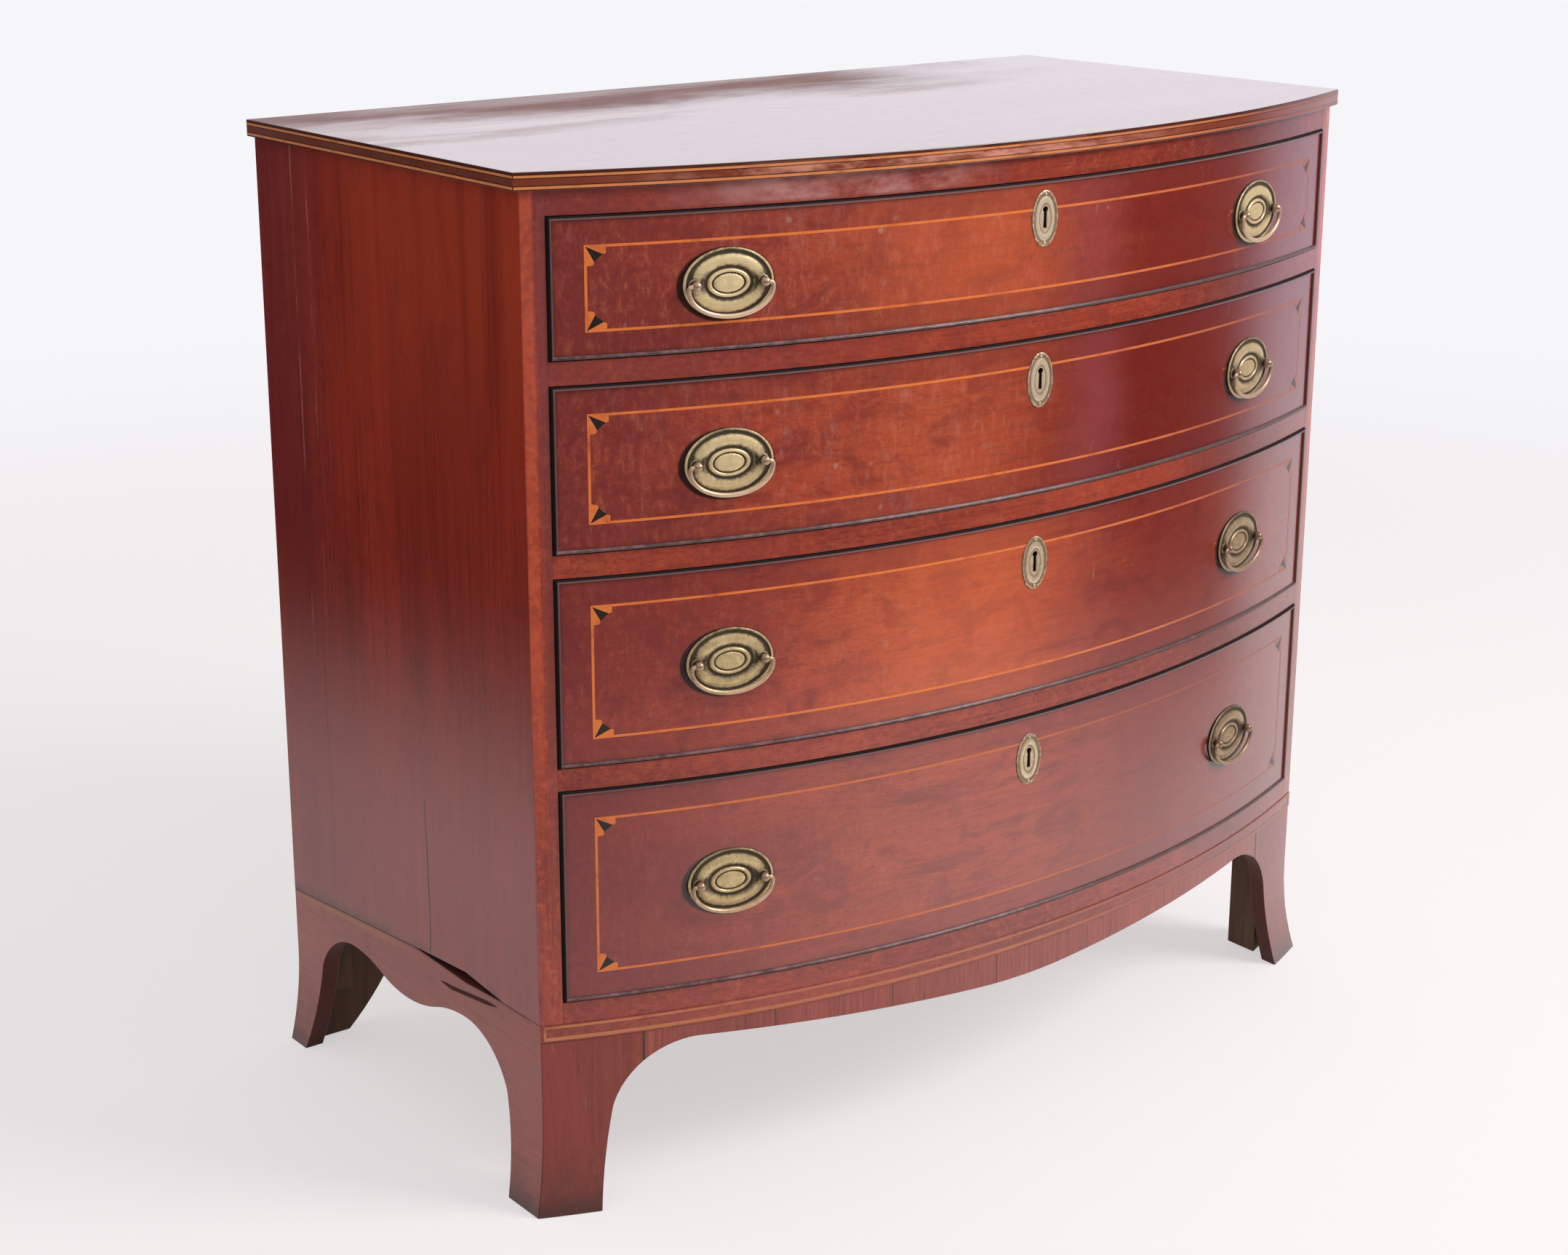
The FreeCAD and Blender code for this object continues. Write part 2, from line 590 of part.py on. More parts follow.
# ---------------------------------------------------------------- rear brackets and glue blocks
BRACKET_TOE = "(Sizes.side_thickness + Sizes.bracket_toe)"
BRACKET_TIP = "(Sizes.side_thickness + Sizes.bracket_reach)"
bracket_outline = [
    (BRACKET_TOE, above("0")),
    (f"({BRACKET_TOE} + {BRACKET_TIP}) / 2", above("Sizes.bracket_height / 2")),
    (BRACKET_TIP, above("Sizes.bracket_height")),
    (f"{BRACKET_TIP} + {SPARE}", above("Sizes.bracket_height")),
    (f"{BRACKET_TIP} + {SPARE}", "0"),
    (BRACKET_TOE, "0"),
]
bracket_void = padded("bracket_void", "XZ_Plane", bracket_outline, f"{2 * SPARE} + Sizes.wall_thickness",
                      (f"-{HALF_WIDTH}", f"{BACK} + {SPARE}", -SPARE),
                      {0: ("Sizes.bracket_curve", "left"), 1: ("Sizes.bracket_curve", "right")})
bracket_board = box("bracket_board", (f"-{HALF_WIDTH}", f"{BACK} - Sizes.wall_thickness", 0),
                    (BRACKET_TIP, "Sizes.wall_thickness", BOTTOM_UNDERSIDE))
left_bracket = cut("left_bracket", bracket_board, bracket_void, base_blank, side_blank)
rear_brackets = group("rear_brackets", left_bracket, mirrored("right_bracket", left_bracket))

# Corner blocks stand behind the feet, clear of the floor, and short blocks hold the boards above.
front_block = box("front_block",
                  (f"-{HALF_INSIDE}", f"{CORNER} - {SPARE}", "Sizes.block_floor_clearance"),
                  ("Sizes.block_width", f"{SPARE} + Sizes.side_thickness + Sizes.block_width",
                   f"{BAND_TOP} - Sizes.block_floor_clearance"))
rear_block = box("rear_block", (f"-{HALF_INSIDE}", f"{BACK} - Sizes.wall_thickness - Sizes.block_width",
                                "Sizes.rear_block_start"),
                 ("Sizes.block_width", "Sizes.block_width", f"{BOTTOM_UNDERSIDE} - Sizes.rear_block_start"))
left_blocks = [common("left_front_block", front_block, bow_column("-Sizes.wall_thickness")), rear_block]
for name in ("front", "rear"):
    start = f"{CORNER} + Sizes.{name}_glue_place - Sizes.glue_block_length / 2"
    left_blocks.append(box(f"{name}_side_glue_block",
                           (f"-{HALF_INSIDE}", start, f"{BOTTOM_UNDERSIDE} - Sizes.glue_block_height"),
                           ("Sizes.glue_block_width", "Sizes.glue_block_length", "Sizes.glue_block_height")))
blocks = left_blocks + [mirrored(f"right_{block.Label}", block) for block in left_blocks]
for name, sign in (("left", "-"), ("middle", "0 *"), ("right", "")):
    middle = f"{sign} Sizes.apron_glue_place"
    blocks.append(bowed_strip(f"{name}_apron_block", f"{middle} - Sizes.glue_block_length / 2",
                              f"{middle} + Sizes.glue_block_length / 2",
                              f"{BAND_TOP} - Sizes.glue_block_height", "Sizes.glue_block_height",
                              "-Sizes.wall_thickness", "-(Sizes.wall_thickness + Sizes.glue_block_width)"))
glue_blocks = group("glue_blocks", *blocks)

CASE = [top_board, left_side, right_side, stile_facings, top_rail, drawer_dividers, bottom_rail,
        bottom_board, back_rail, runners_and_kickers, drawer_stops, back_boards, left_base_board,
        right_base_board, foot_faces, front_apron, base_band, rear_brackets, glue_blocks]

# ---------------------------------------------------------------- handle, made once about its own middle
# The handle faces the front: its plate lies in the XZ plane and the drawer front is behind it.
SIDEWAYS = Rotation(Vector(0, 1, 0), 90)        # turns Z to the right
PLATE_SIDES, BOSS_SIDES, SMALL_SIDES = 16, 12, 6    # flats round a plate, its boss, and a knuckle or eye


def oval(label, length, height, thickness, sides):
    """An oval plate round the Y axis, with its back in the XZ plane and its edge in short flats."""
    turns = [360 * (step + 0.5) / sides for step in range(sides)]
    corners = [(f"{length} / 2 * (1 + cos({turn} deg))", f"{height} / 2 * (1 + sin({turn} deg))")
               for turn in turns]
    return padded(label, "XZ_Plane", corners, thickness, (f"-{length} / 2", 0, f"-{height} / 2"))


def round_bar(label, radius, sides, length, at):
    """A bar along X with so many flats."""
    bar = doc.addObject("Part::Prism", label)
    bar.Polygon = sides
    bar.Placement = Placement(Vector(0, 0, 0), SIDEWAYS)
    bind(bar, Circumradius=radius, Height=length)
    return place(bar, *at)


def square_bar(label, across, width, start, end):
    """A bar of square section through the drawer front, from start to end behind the plate's back."""
    low = (f"{across} - {width} / 2", start, f"-{width} / 2")
    return box(label, low, (width, f"{end} - ({start})", width))


rim = cut("plate_rim",
          oval("plate_rim_outside", "Sizes.plate_width", "Sizes.plate_height", "Sizes.plate_rim_height",
               PLATE_SIDES),
          oval("plate_rim_inside", "(Sizes.plate_width - 2 * Sizes.plate_rim_width)",
               "(Sizes.plate_height - 2 * Sizes.plate_rim_width)", "2 * Sizes.plate_rim_height", PLATE_SIDES))
plate_back = oval("plate_back", "Sizes.plate_width", "Sizes.plate_height", "Sizes.plate_thickness",
                  PLATE_SIDES)
boss = oval("plate_boss", "Sizes.boss_width", "Sizes.boss_height", "Sizes.boss_rise", BOSS_SIDES)
SHANK_END = f"(Sizes.front_thickness + Sizes.post_spacing ^ 2 / (8 * {BOW_RADIUS}) + Sizes.shank_tail)"
HOLE_WIDTH = "(Sizes.shank_width + 2 * Sizes.pin_clearance)"
EYE_RADIUS = f"((Sizes.pin_radius + Sizes.pin_clearance) / cos({180 / SMALL_SIDES} deg))"
shank_holes = []
posts = []
for side, sign in (("left", "-"), ("right", "")):
    across = f"{sign}Sizes.post_spacing / 2"
    hole = square_bar(f"{side}_shank_hole", across, HOLE_WIDTH, -SPARE, f"{SHANK_END} + {SPARE}")
    shank = square_bar(f"{side}_shank", across, "Sizes.shank_width", "-Sizes.pin_height", SHANK_END)
    knuckle = round_bar(f"{side}_knuckle", "Sizes.knuckle_radius", SMALL_SIDES, "Sizes.knuckle_length",
                        (f"{across} - Sizes.knuckle_length / 2", "-Sizes.pin_height", 0))
    eye = round_bar(f"{side}_eye", EYE_RADIUS, SMALL_SIDES, "2 * Sizes.knuckle_length",
                    (f"{across} - Sizes.knuckle_length", "-Sizes.pin_height", 0))
    shank_holes.append(hole)
    posts.append(cut(f"{side}_post", fuse(f"{side}_stud", shank, knuckle), eye))
handle_plate = cut("handle_plate", fuse("plate_stamping", plate_back, rim, boss), *shank_holes)
handle_fixed = [handle_plate, *posts]

# The bail hangs from its pins: a short upright end, half an oval and another upright end. Its
# rod is faceted, each facet flat from one mitre to the next.
BAIL_STEPS, ROD_SIDES = 8, 6
BAIL_HALF = "(Sizes.post_spacing / 2 + Sizes.bail_beyond_post)"
bail_reach = value(BAIL_HALF)
bail_drop = value("Sizes.bail_drop")
rod = value("Sizes.bail_radius")
turns = [math.pi * (1 + step / BAIL_STEPS) for step in range(BAIL_STEPS + 1)]
line = [Vector(bail_reach * math.cos(turn), 0, bail_drop * math.sin(turn)) for turn in turns]
line = [Vector(-bail_reach, 0, rod), *line, Vector(bail_reach, 0, rod)]
ring = [line[0] + Vector(rod * math.cos(turn), rod * math.sin(turn), 0)
        for turn in (2 * math.pi * (step + 0.5) / ROD_SIDES for step in range(ROD_SIDES + 1))]
MITRED = 1                                      # how the pipe turns at a corner of its path
bail_rod = doc.addObject("Part::Feature", "bail_rod")
bail_rod.Shape = Part.makePolygon(line).makePipeShell([Part.makePolygon(ring)], True, False, MITRED)
place(bail_rod, 0, "-Sizes.pin_height", 0)

PIN_LENGTH = "(Sizes.bail_beyond_post + Sizes.knuckle_length / 2)"
PIN_STARTS = {"left": f"-{BAIL_HALF}", "right": f"{BAIL_HALF} - {PIN_LENGTH}"}
bail_pins = [round_bar(f"{side}_pin", "Sizes.pin_radius", SMALL_SIDES, PIN_LENGTH,
                       (start, "-Sizes.pin_height", 0))
             for side, start in PIN_STARTS.items()]
bail = fuse("bail", bail_rod, *bail_pins)
escutcheon = oval("escutcheon", "Sizes.escutcheon_width", "Sizes.escutcheon_height",
                  "Sizes.escutcheon_thickness", PLATE_SIDES)


HANDLE_PLACE = f"({HALF_WIDTH} - Sizes.handle_inset)"


def handle_spot(thing, sign, height):
    """Set a handle piece against the bow, square to its surface."""
    thing.Placement = Placement(Vector(0, 0, 0), Rotation(Vector(0, 0, 1), 1))
    thing.setExpression("Placement.Rotation.Angle", f"asin({sign}{HANDLE_PLACE} / {BOW_RADIUS})")
    back = f"{BOW_CENTRE} - sqrt({BOW_RADIUS} ^ 2 - {HANDLE_PLACE} ^ 2)"
    return place(thing, f"{sign}{HANDLE_PLACE}", back, height)


# ---------------------------------------------------------------- drawers
DRAWER_HALF = f"({HALF_INSIDE} - Sizes.drawer_gap)"
DRAWER_REAR = f"({BACK_BOARD_FACE} - Sizes.drawer_back_clearance)"
TAIL_TIP, TAIL_ROOT = 0.84, 0.6                 # widths of a dovetail, as parts of the pitch
KEYHOLE_SIDES = 8


# What lies behind a plane through the drawer's front right corner, the blind lap inside its face.
LAP_RADIUS = f"({BOW_RADIUS} - Sizes.blind_lap)"
lap_block = doc.addObject("Part::Box", "lap_block")
bind(lap_block, Length="Sizes.case_width / 2", Width="Sizes.case_width / 2", Height=TOP_UNDERSIDE)
lap_block.Placement = Placement(Vector(0, 0, 0), Rotation(Vector(0, 0, 1), 1))
lap_block.setExpression("Placement.Rotation.Angle", f"asin({DRAWER_HALF} / {LAP_RADIUS})")
lap_start = f"({BOW_CENTRE} - sqrt({LAP_RADIUS} ^ 2 - {DRAWER_HALF} ^ 2))"
place(lap_block, f"{DRAWER_HALF} - Sizes.case_width / 4 * cos(asin({DRAWER_HALF} / {LAP_RADIUS}))",
      f"{lap_start} - Sizes.case_width / 4 * {DRAWER_HALF} / {LAP_RADIUS}", 0)


def dovetails(n, low, height):
    """The tails on the front end of a right drawer side, as one run of wedges."""
    count = max(2, round(value(height) / value("Sizes.tail_pitch")))
    pitch = f"({height} / {count})"
    inner = f"({DRAWER_HALF} - Sizes.drawer_side_thickness)"
    tip = f"{BOW_CENTRE} - sqrt({BOW_RADIUS} ^ 2 - {inner} ^ 2)"
    root = f"{BOW_CENTRE} - sqrt(({BOW_RADIUS} - Sizes.front_thickness) ^ 2 - {DRAWER_HALF} ^ 2) + {MARGIN}"
    tails = []
    for index in range(count):
        middle = f"{low} + {pitch} * {index + 0.5}"
        tail = doc.addObject("Part::Wedge", f"drawer_{n}_tail_{index + 1}")
        bind(tail, Xmin=inner, Xmax=DRAWER_HALF, X2min=inner, X2max=DRAWER_HALF, Ymin=tip, Ymax=root,
             Zmin=f"{middle} - {TAIL_TIP / 2} * {pitch}", Zmax=f"{middle} + {TAIL_TIP / 2} * {pitch}",
             Z2min=f"{middle} - {TAIL_ROOT / 2} * {pitch}", Z2max=f"{middle} + {TAIL_ROOT / 2} * {pitch}")
        tails.append(tail)
    return common(f"drawer_{n}_tails", fuse(f"drawer_{n}_tail_run", *tails), lap_block)


def make_drawer(n):
    name = f"drawer_{n}"
    low, top = f"({FLOOR[n]} + Sizes.drawer_gap)", DRAWER_TOP[n]
    height = f"({top} - {low})"
    blank = bowed_strip(f"{name}_blank", f"-{DRAWER_HALF}", DRAWER_HALF, low, height, "0",
                        "-Sizes.front_thickness")

    # Cock bead: four thin strips let into the edges of the front, standing a little proud.
    bead = "Sizes.bead_thickness"
    strips = [
        bowed_strip(f"{name}_top_bead", f"-{DRAWER_HALF}", DRAWER_HALF, f"{top} - {bead}", bead,
                    "Sizes.bead_proud", "-Sizes.bead_depth"),
        bowed_strip(f"{name}_bottom_bead", f"-{DRAWER_HALF}", DRAWER_HALF, low, bead,
                    "Sizes.bead_proud", "-Sizes.bead_depth"),
        bowed_strip(f"{name}_right_bead", f"{DRAWER_HALF} - {bead}", DRAWER_HALF, f"{low} + {bead}",
                    f"{height} - 2 * {bead}", "Sizes.bead_proud", "-Sizes.bead_depth"),
    ]
    strips.append(mirrored(f"{name}_left_bead", strips[-1]))
    cockbead = group(f"{name}_cockbead", *strips)

    # Bottom board, held in a groove of the sides and the front; the back stands on it.
    side_low = f"({FLOOR[n]} + Sizes.slide_clearance)"
    side_height = f"({CEILING[n]} - Sizes.side_top_clearance - {side_low})"
    board_low = f"({side_low} + Sizes.drawer_bottom_height)"
    board_half = f"({DRAWER_HALF} - Sizes.drawer_side_thickness + Sizes.groove_depth)"
    bottom = bowed_board(f"{name}_bottom", board_half, DRAWER_REAR, board_low,
                         "Sizes.drawer_bottom_thickness", "-(Sizes.front_thickness - Sizes.groove_depth)")

    # Sides, half blind dovetailed into the front.
    side_box = box(f"{name}_side_blank", (f"{DRAWER_HALF} - Sizes.drawer_side_thickness", FRONT, side_low),
                   ("Sizes.drawer_side_thickness", f"{DRAWER_REAR} - {FRONT}", side_height))
    side_body = common(f"{name}_side_board", side_box, bow_column("-Sizes.front_thickness"))
    side_joined = fuse(f"{name}_side_joined", side_body, dovetails(n, low, height))
    right = cut(f"{name}_right_side", side_joined, bottom)
    sides = group(f"{name}_sides", mirrored(f"{name}_left_side", right), right)

    inside = f"({DRAWER_HALF} - Sizes.drawer_side_thickness)"
    back_low = f"({board_low} + Sizes.drawer_bottom_thickness)"
    back = box(f"{name}_back", (f"-{inside}", f"{DRAWER_REAR} - Sizes.drawer_back_thickness", back_low),
               (f"2 * {inside}", "Sizes.drawer_back_thickness",
                f"{side_low} + {side_height} - Sizes.drawer_back_lowered - {back_low}"))

    # Half mortise lock in the back of the front, with a bolt that rises into the rail above.
    key = f"({CEILING[n]} - Sizes.key_drop_{n})"
    lock_face = f"({FACE_MIDDLE} + Sizes.lock_setback)"
    key_deep = f"{SPARE} + Sizes.lock_setback + Sizes.lock_thickness / 2"
    key_round = doc.addObject("Part::Prism", f"{name}_key_round")
    key_round.Polygon = KEYHOLE_SIDES
    key_round.Placement = Placement(Vector(0, 0, 0), Rotation(Vector(1, 0, 0), -90))
    bind(key_round, Circumradius="Sizes.keyhole_radius", Height=key_deep)
    place(key_round, 0, f"{FACE_MIDDLE} - {SPARE}", key)
    key_slot = box(f"{name}_key_slot", ("-Sizes.keyhole_slot_width / 2", f"{FACE_MIDDLE} - {SPARE}",
                                        f"{key} - Sizes.keyhole_slot_length"),
                   ("Sizes.keyhole_slot_width", key_deep, "Sizes.keyhole_slot_length"))
    keyhole = fuse(f"{name}_keyhole", key_round, key_slot)
    lock_low = f"({key} - Sizes.keyhole_slot_length - Sizes.lock_below_keyhole)"
    lock_blank = box(f"{name}_lock_case", ("-Sizes.lock_width / 2", lock_face, lock_low),
                     ("Sizes.lock_width", "Sizes.lock_thickness", f"{top} - {lock_low}"))
    bolt_low = f"({top} - Sizes.bolt_height)"
    channel = bolt_space(f"{name}_bolt_channel", f"{bolt_low} - Sizes.bolt_clearance",
                         f"Sizes.bolt_height + Sizes.bolt_clearance + {SPARE}", "Sizes.bolt_clearance")
    lock = cut(f"{name}_lock", lock_blank, channel, keyhole)
    bolt = bolt_space(f"{name}_lock_bolt", bolt_low, "Sizes.bolt_height", "0")

    # Brasses: two plates with eye posts, and the escutcheon round the keyhole.
    handle_height = f"Sizes.handle_{n}_height"
    holes = []
    brasses = []
    bails = []
    for side, sign in (("left", "-"), ("right", "")):
        holes.append(handle_spot(group(f"{name}_{side}_holes", *shank_holes), sign, handle_height))
        brasses.append(handle_spot(group(f"{name}_{side}_handle", *handle_fixed), sign, handle_height))
        bails.append(handle_spot(group(f"{name}_bail_{side}", bail), sign, handle_height))
    plain_escutcheon = group(f"{name}_plain_escutcheon", escutcheon)
    place(plain_escutcheon, 0, FACE_MIDDLE, f"{key} - Sizes.escutcheon_drop")
    brasses.append(cut(f"{name}_escutcheon", plain_escutcheon, keyhole))

    front = cut(f"{name}_front", blank, cockbead, sides, bottom, lock_blank, keyhole, *holes)
    return [front, cockbead, sides, back, bottom, lock, bolt, group(f"{name}_brasses", *brasses), *bails]


DRAWERS = [make_drawer(n) for n in NUMBERS]

# ---------------------------------------------------------------- check and write
doc.recompute()
NODES = CASE + [piece for drawer in DRAWERS for piece in drawer]
for thing in doc.Objects:
    if "Invalid" in thing.State or "Error" in thing.State:
        raise RuntimeError(f"{thing.Label} failed: {thing.State}")
for node in NODES:
    if node.Shape.isNull() or not node.Shape.isValid() or not node.Shape.Solids:
        raise RuntimeError(f"{node.Label} has no valid solid")
os.makedirs("parts", exist_ok=True)
for node in NODES:
    node.Shape.exportStep(f"parts/{node.Label}.step")
print(f"{len(NODES)} nodes, {sum(len(node.Shape.Solids) for node in NODES)} solids")
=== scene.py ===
import math
import random

import bpy
from mathutils import Matrix, Vector


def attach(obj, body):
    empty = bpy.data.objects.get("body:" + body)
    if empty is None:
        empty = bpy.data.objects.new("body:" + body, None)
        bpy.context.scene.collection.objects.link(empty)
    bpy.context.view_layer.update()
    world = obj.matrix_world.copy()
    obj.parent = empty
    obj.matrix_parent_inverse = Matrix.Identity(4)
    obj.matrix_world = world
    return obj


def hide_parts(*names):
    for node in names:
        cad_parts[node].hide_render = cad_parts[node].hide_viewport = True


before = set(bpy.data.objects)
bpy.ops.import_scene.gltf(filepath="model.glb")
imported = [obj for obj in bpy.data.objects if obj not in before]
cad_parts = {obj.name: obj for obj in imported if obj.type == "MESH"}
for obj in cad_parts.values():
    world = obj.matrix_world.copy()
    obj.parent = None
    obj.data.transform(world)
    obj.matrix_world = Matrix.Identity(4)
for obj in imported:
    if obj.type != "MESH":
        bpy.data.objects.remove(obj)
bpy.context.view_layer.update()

# -------------------- side boards
# Each side of the case is a wide mahogany board with its grain upright, planed, stained red and
# french polished. The polish has worn, and the left board has opened along two cracks.
MM = 0.001
CORNER_Y = -180.75 * MM              # front corners of the case
CRACK, BOARD_JOIN = 186 * MM, 378 * MM          # behind those corners, like the next two
PALE_LINES = ((372 * MM, 374.5 * MM), (401 * MM, 403 * MM))
SIDE_DEPTH = 472 * MM
EVEN = (1, 1, 1)
GRIME = (0.022, 0.010, 0.007)


def by(operation):
    """An operator of a wire, which adds one Math node."""
    return lambda wire, *others: wire.maths(operation, wire, *others)


class Wire:
    """One output of a finish's nodes. Arithmetic on it adds the Math nodes."""

    def __init__(self, finish, socket):
        self.finish, self.socket = finish, socket

    def maths(self, operation, *values):
        return self.finish.node("Math", {"operation": operation}, dict(enumerate(values)))

    def __rsub__(self, other):
        return self.maths("SUBTRACT", other, self)

    def rise(self, low, high):
        """0 below low, 1 above high and a smooth slope between."""
        return self.finish.node("MapRange", {"interpolation_type": "SMOOTHSTEP"},
                                {"Value": self, "From Min": low, "From Max": high})

    def band(self, low, high, soft):
        """1 between low and high, with soft edges."""
        return self.rise(low - soft, low + soft) - self.rise(high - soft, high + soft)

    __add__ = __radd__ = by("ADD")
    __sub__ = by("SUBTRACT")
    __mul__ = __rmul__ = by("MULTIPLY")
    __truediv__, __pow__, __abs__ = by("DIVIDE"), by("POWER"), by("ABSOLUTE")
    at_least, floor, fraction = by("MAXIMUM"), by("FLOOR"), by("FRACT")


class Finish:
    """A material in the making. Its shader's sockets are set by name, at the end."""

    def __init__(self, name, owner=None, shader="Principled BSDF", **constants):
        self.material = owner or bpy.data.materials.new(name)
        self.material.use_nodes = True
        self.tree = self.material.node_tree
        self.shader = self.tree.nodes[shader]
        self.set(**constants)

    def join(self, socket, value):
        if isinstance(value, Wire):
            self.tree.links.new(value.socket, socket)
        else:
            socket.default_value = (*value, 1) if socket.type == "RGBA" else value

    def set(self, **sockets):
        for name, value in sockets.items():
            self.join(self.shader.inputs[name.replace("_", " ")], value)

    def node(self, kind, settings={}, inputs={}, output=0):
        made = self.tree.nodes.new("ShaderNode" + kind)
        for name, value in settings.items():
            setattr(made, name, value)
        for name, value in inputs.items():
            self.join(made.inputs[name], value)
        return Wire(self, made.outputs[output])

    def blend(self, share, first, second):
        """A colour between two, by share."""
        return self.node("Mix", {"data_type": "RGBA"}, {0: share, 6: first, 7: second}, output=2)

    def lay(self, share, colour):
        """Lay one more colour over what the finish has so far, by share."""
        self.colour = self.blend(share, self.colour, colour)

    def glow_over(self, share, colour):
        """Lay a flat glowing colour over the shader, by share."""
        output = self.tree.nodes["Material Output"].inputs["Surface"]
        below = Wire(self, output.links[0].from_socket)
        glow = self.node("Emission", inputs={"Color": colour})
        self.join(output, self.node("MixShader", inputs={0: share, 1: below, 2: glow}))

    def axes(self, kind="Object"):
        """Across, back and up of a place, or of the way it faces when the kind is Normal."""
        parts = self.node("SeparateXYZ", inputs={0: self.node("TexCoord", output=kind)}).socket.node
        return [Wire(self, part) for part in parts.outputs]

    def stretched(self, scales, shift=(0, 0, 0)):
        return self.node("VectorMath", {"operation": "MULTIPLY_ADD"},
                         {0: self.node("TexCoord", output="Object"), 1: scales, 2: shift})

    def noise(self, scales, scale, detail=2, roughness=0.5, distortion=0, shift=(0, 0, 0)):
        return self.node("TexNoise", inputs={
            "Vector": self.stretched(scales, shift), "Scale": scale, "Detail": detail,
            "Roughness": roughness, "Distortion": distortion})

    def done(self, rough, relief, strength, depth, **sockets):
        """Join colour, roughness and relief to the shader, and give the material."""
        bump = self.node("Bump", inputs={"Height": relief, "Strength": strength, "Distance": depth})
        self.set(Base_Color=self.colour, Roughness=rough, Normal=bump, **sockets)
        return self.material


def lengthwise(along, ratio):
    """Scales that draw a pattern out along the grain."""
    return tuple(ratio if axis == along else 1 for axis in "XYZ")


def mahogany(name, along, deep, middle, bright, contrast, mottle, shift, gloss=0.22, pores=0.42):
    """Polished mahogany: broad figure, fine fibres, dark pores and small mottled flecks."""
    wood = Finish(name, Coat_Roughness=0.14, Coat_IOR=1.55, IOR=1.5)
    wood.figure = wood.noise(lengthwise(along, 0.22), 9, 3, 0.55, 0.6, shift)
    wood.fibre = wood.noise(lengthwise(along, 0.018), 300, 3, 0.6, 0, shift)
    wood.fleck = wood.noise(EVEN, 62, 4, 0.65, 0.8, shift)
    pore = wood.noise(lengthwise(along, 0.035), 900, 1, 0.4, 0, shift).rise(0.60, 0.70)
    tone = wood.figure * 0.62 + wood.fibre * 0.38
    wood.colour = wood.blend(tone.rise(0.5 - 0.18 / contrast, 0.5 + 0.16 / contrast), deep, middle)
    glow = wood.noise(lengthwise(along, 0.45), 3.1, 3, 0.6, 0.4, (3.7, 1.2, 5.9)).rise(0.48, 0.72)
    wood.lay(glow * (wood.fleck * 0.5 + wood.fibre * 0.5).rise(0.36, 0.62) * 0.62, bright)
    wood.lay(wood.fleck.rise(0.50, 0.72) * mottle, deep)
    wood.lay(pore * pores, GRIME)
    wood.relief = wood.fibre * 0.35 - pore * 0.6 + wood.fleck * 0.15
    wood.rough = gloss + wood.fleck * 0.16 + pore * 0.12
    return wood


def scuff(wood, amount, veil=(0.46, 0.27, 0.24), scales=(1, 1, 0.25)):
    """Fine pale scratches and rubbed spots in the polish."""
    rub = wood.noise(scales, 130, 5, 0.75, 0.25, (8.1, 2.7, 4.4)).rise(0.60, 0.76)
    where = wood.noise(EVEN, 5.2, 2, 0.5, 0, (1.3, 6.6, 2.2)).rise(0.46, 0.66)
    wood.lay(rub * where * amount, veil)


def polish(wood, coat, depth=0.12 * MM):
    """The finish of a wood under a coat of polish."""
    return wood.done(wood.rough, wood.relief, 0.35, depth, Coat_Weight=coat)


SEAM_FRONT, SEAM_TURN, SEAM_BACK = 189 * MM, 226 * MM, 168.5 * MM
SEAM_SLOPE = (SEAM_FRONT - SEAM_BACK) / (SIDE_DEPTH - SEAM_TURN)


def seam_height(behind, up):
    """How far a place is above the joint between side board and base board."""
    return up - SEAM_FRONT + (behind - SEAM_TURN).at_least(0) * SEAM_SLOPE


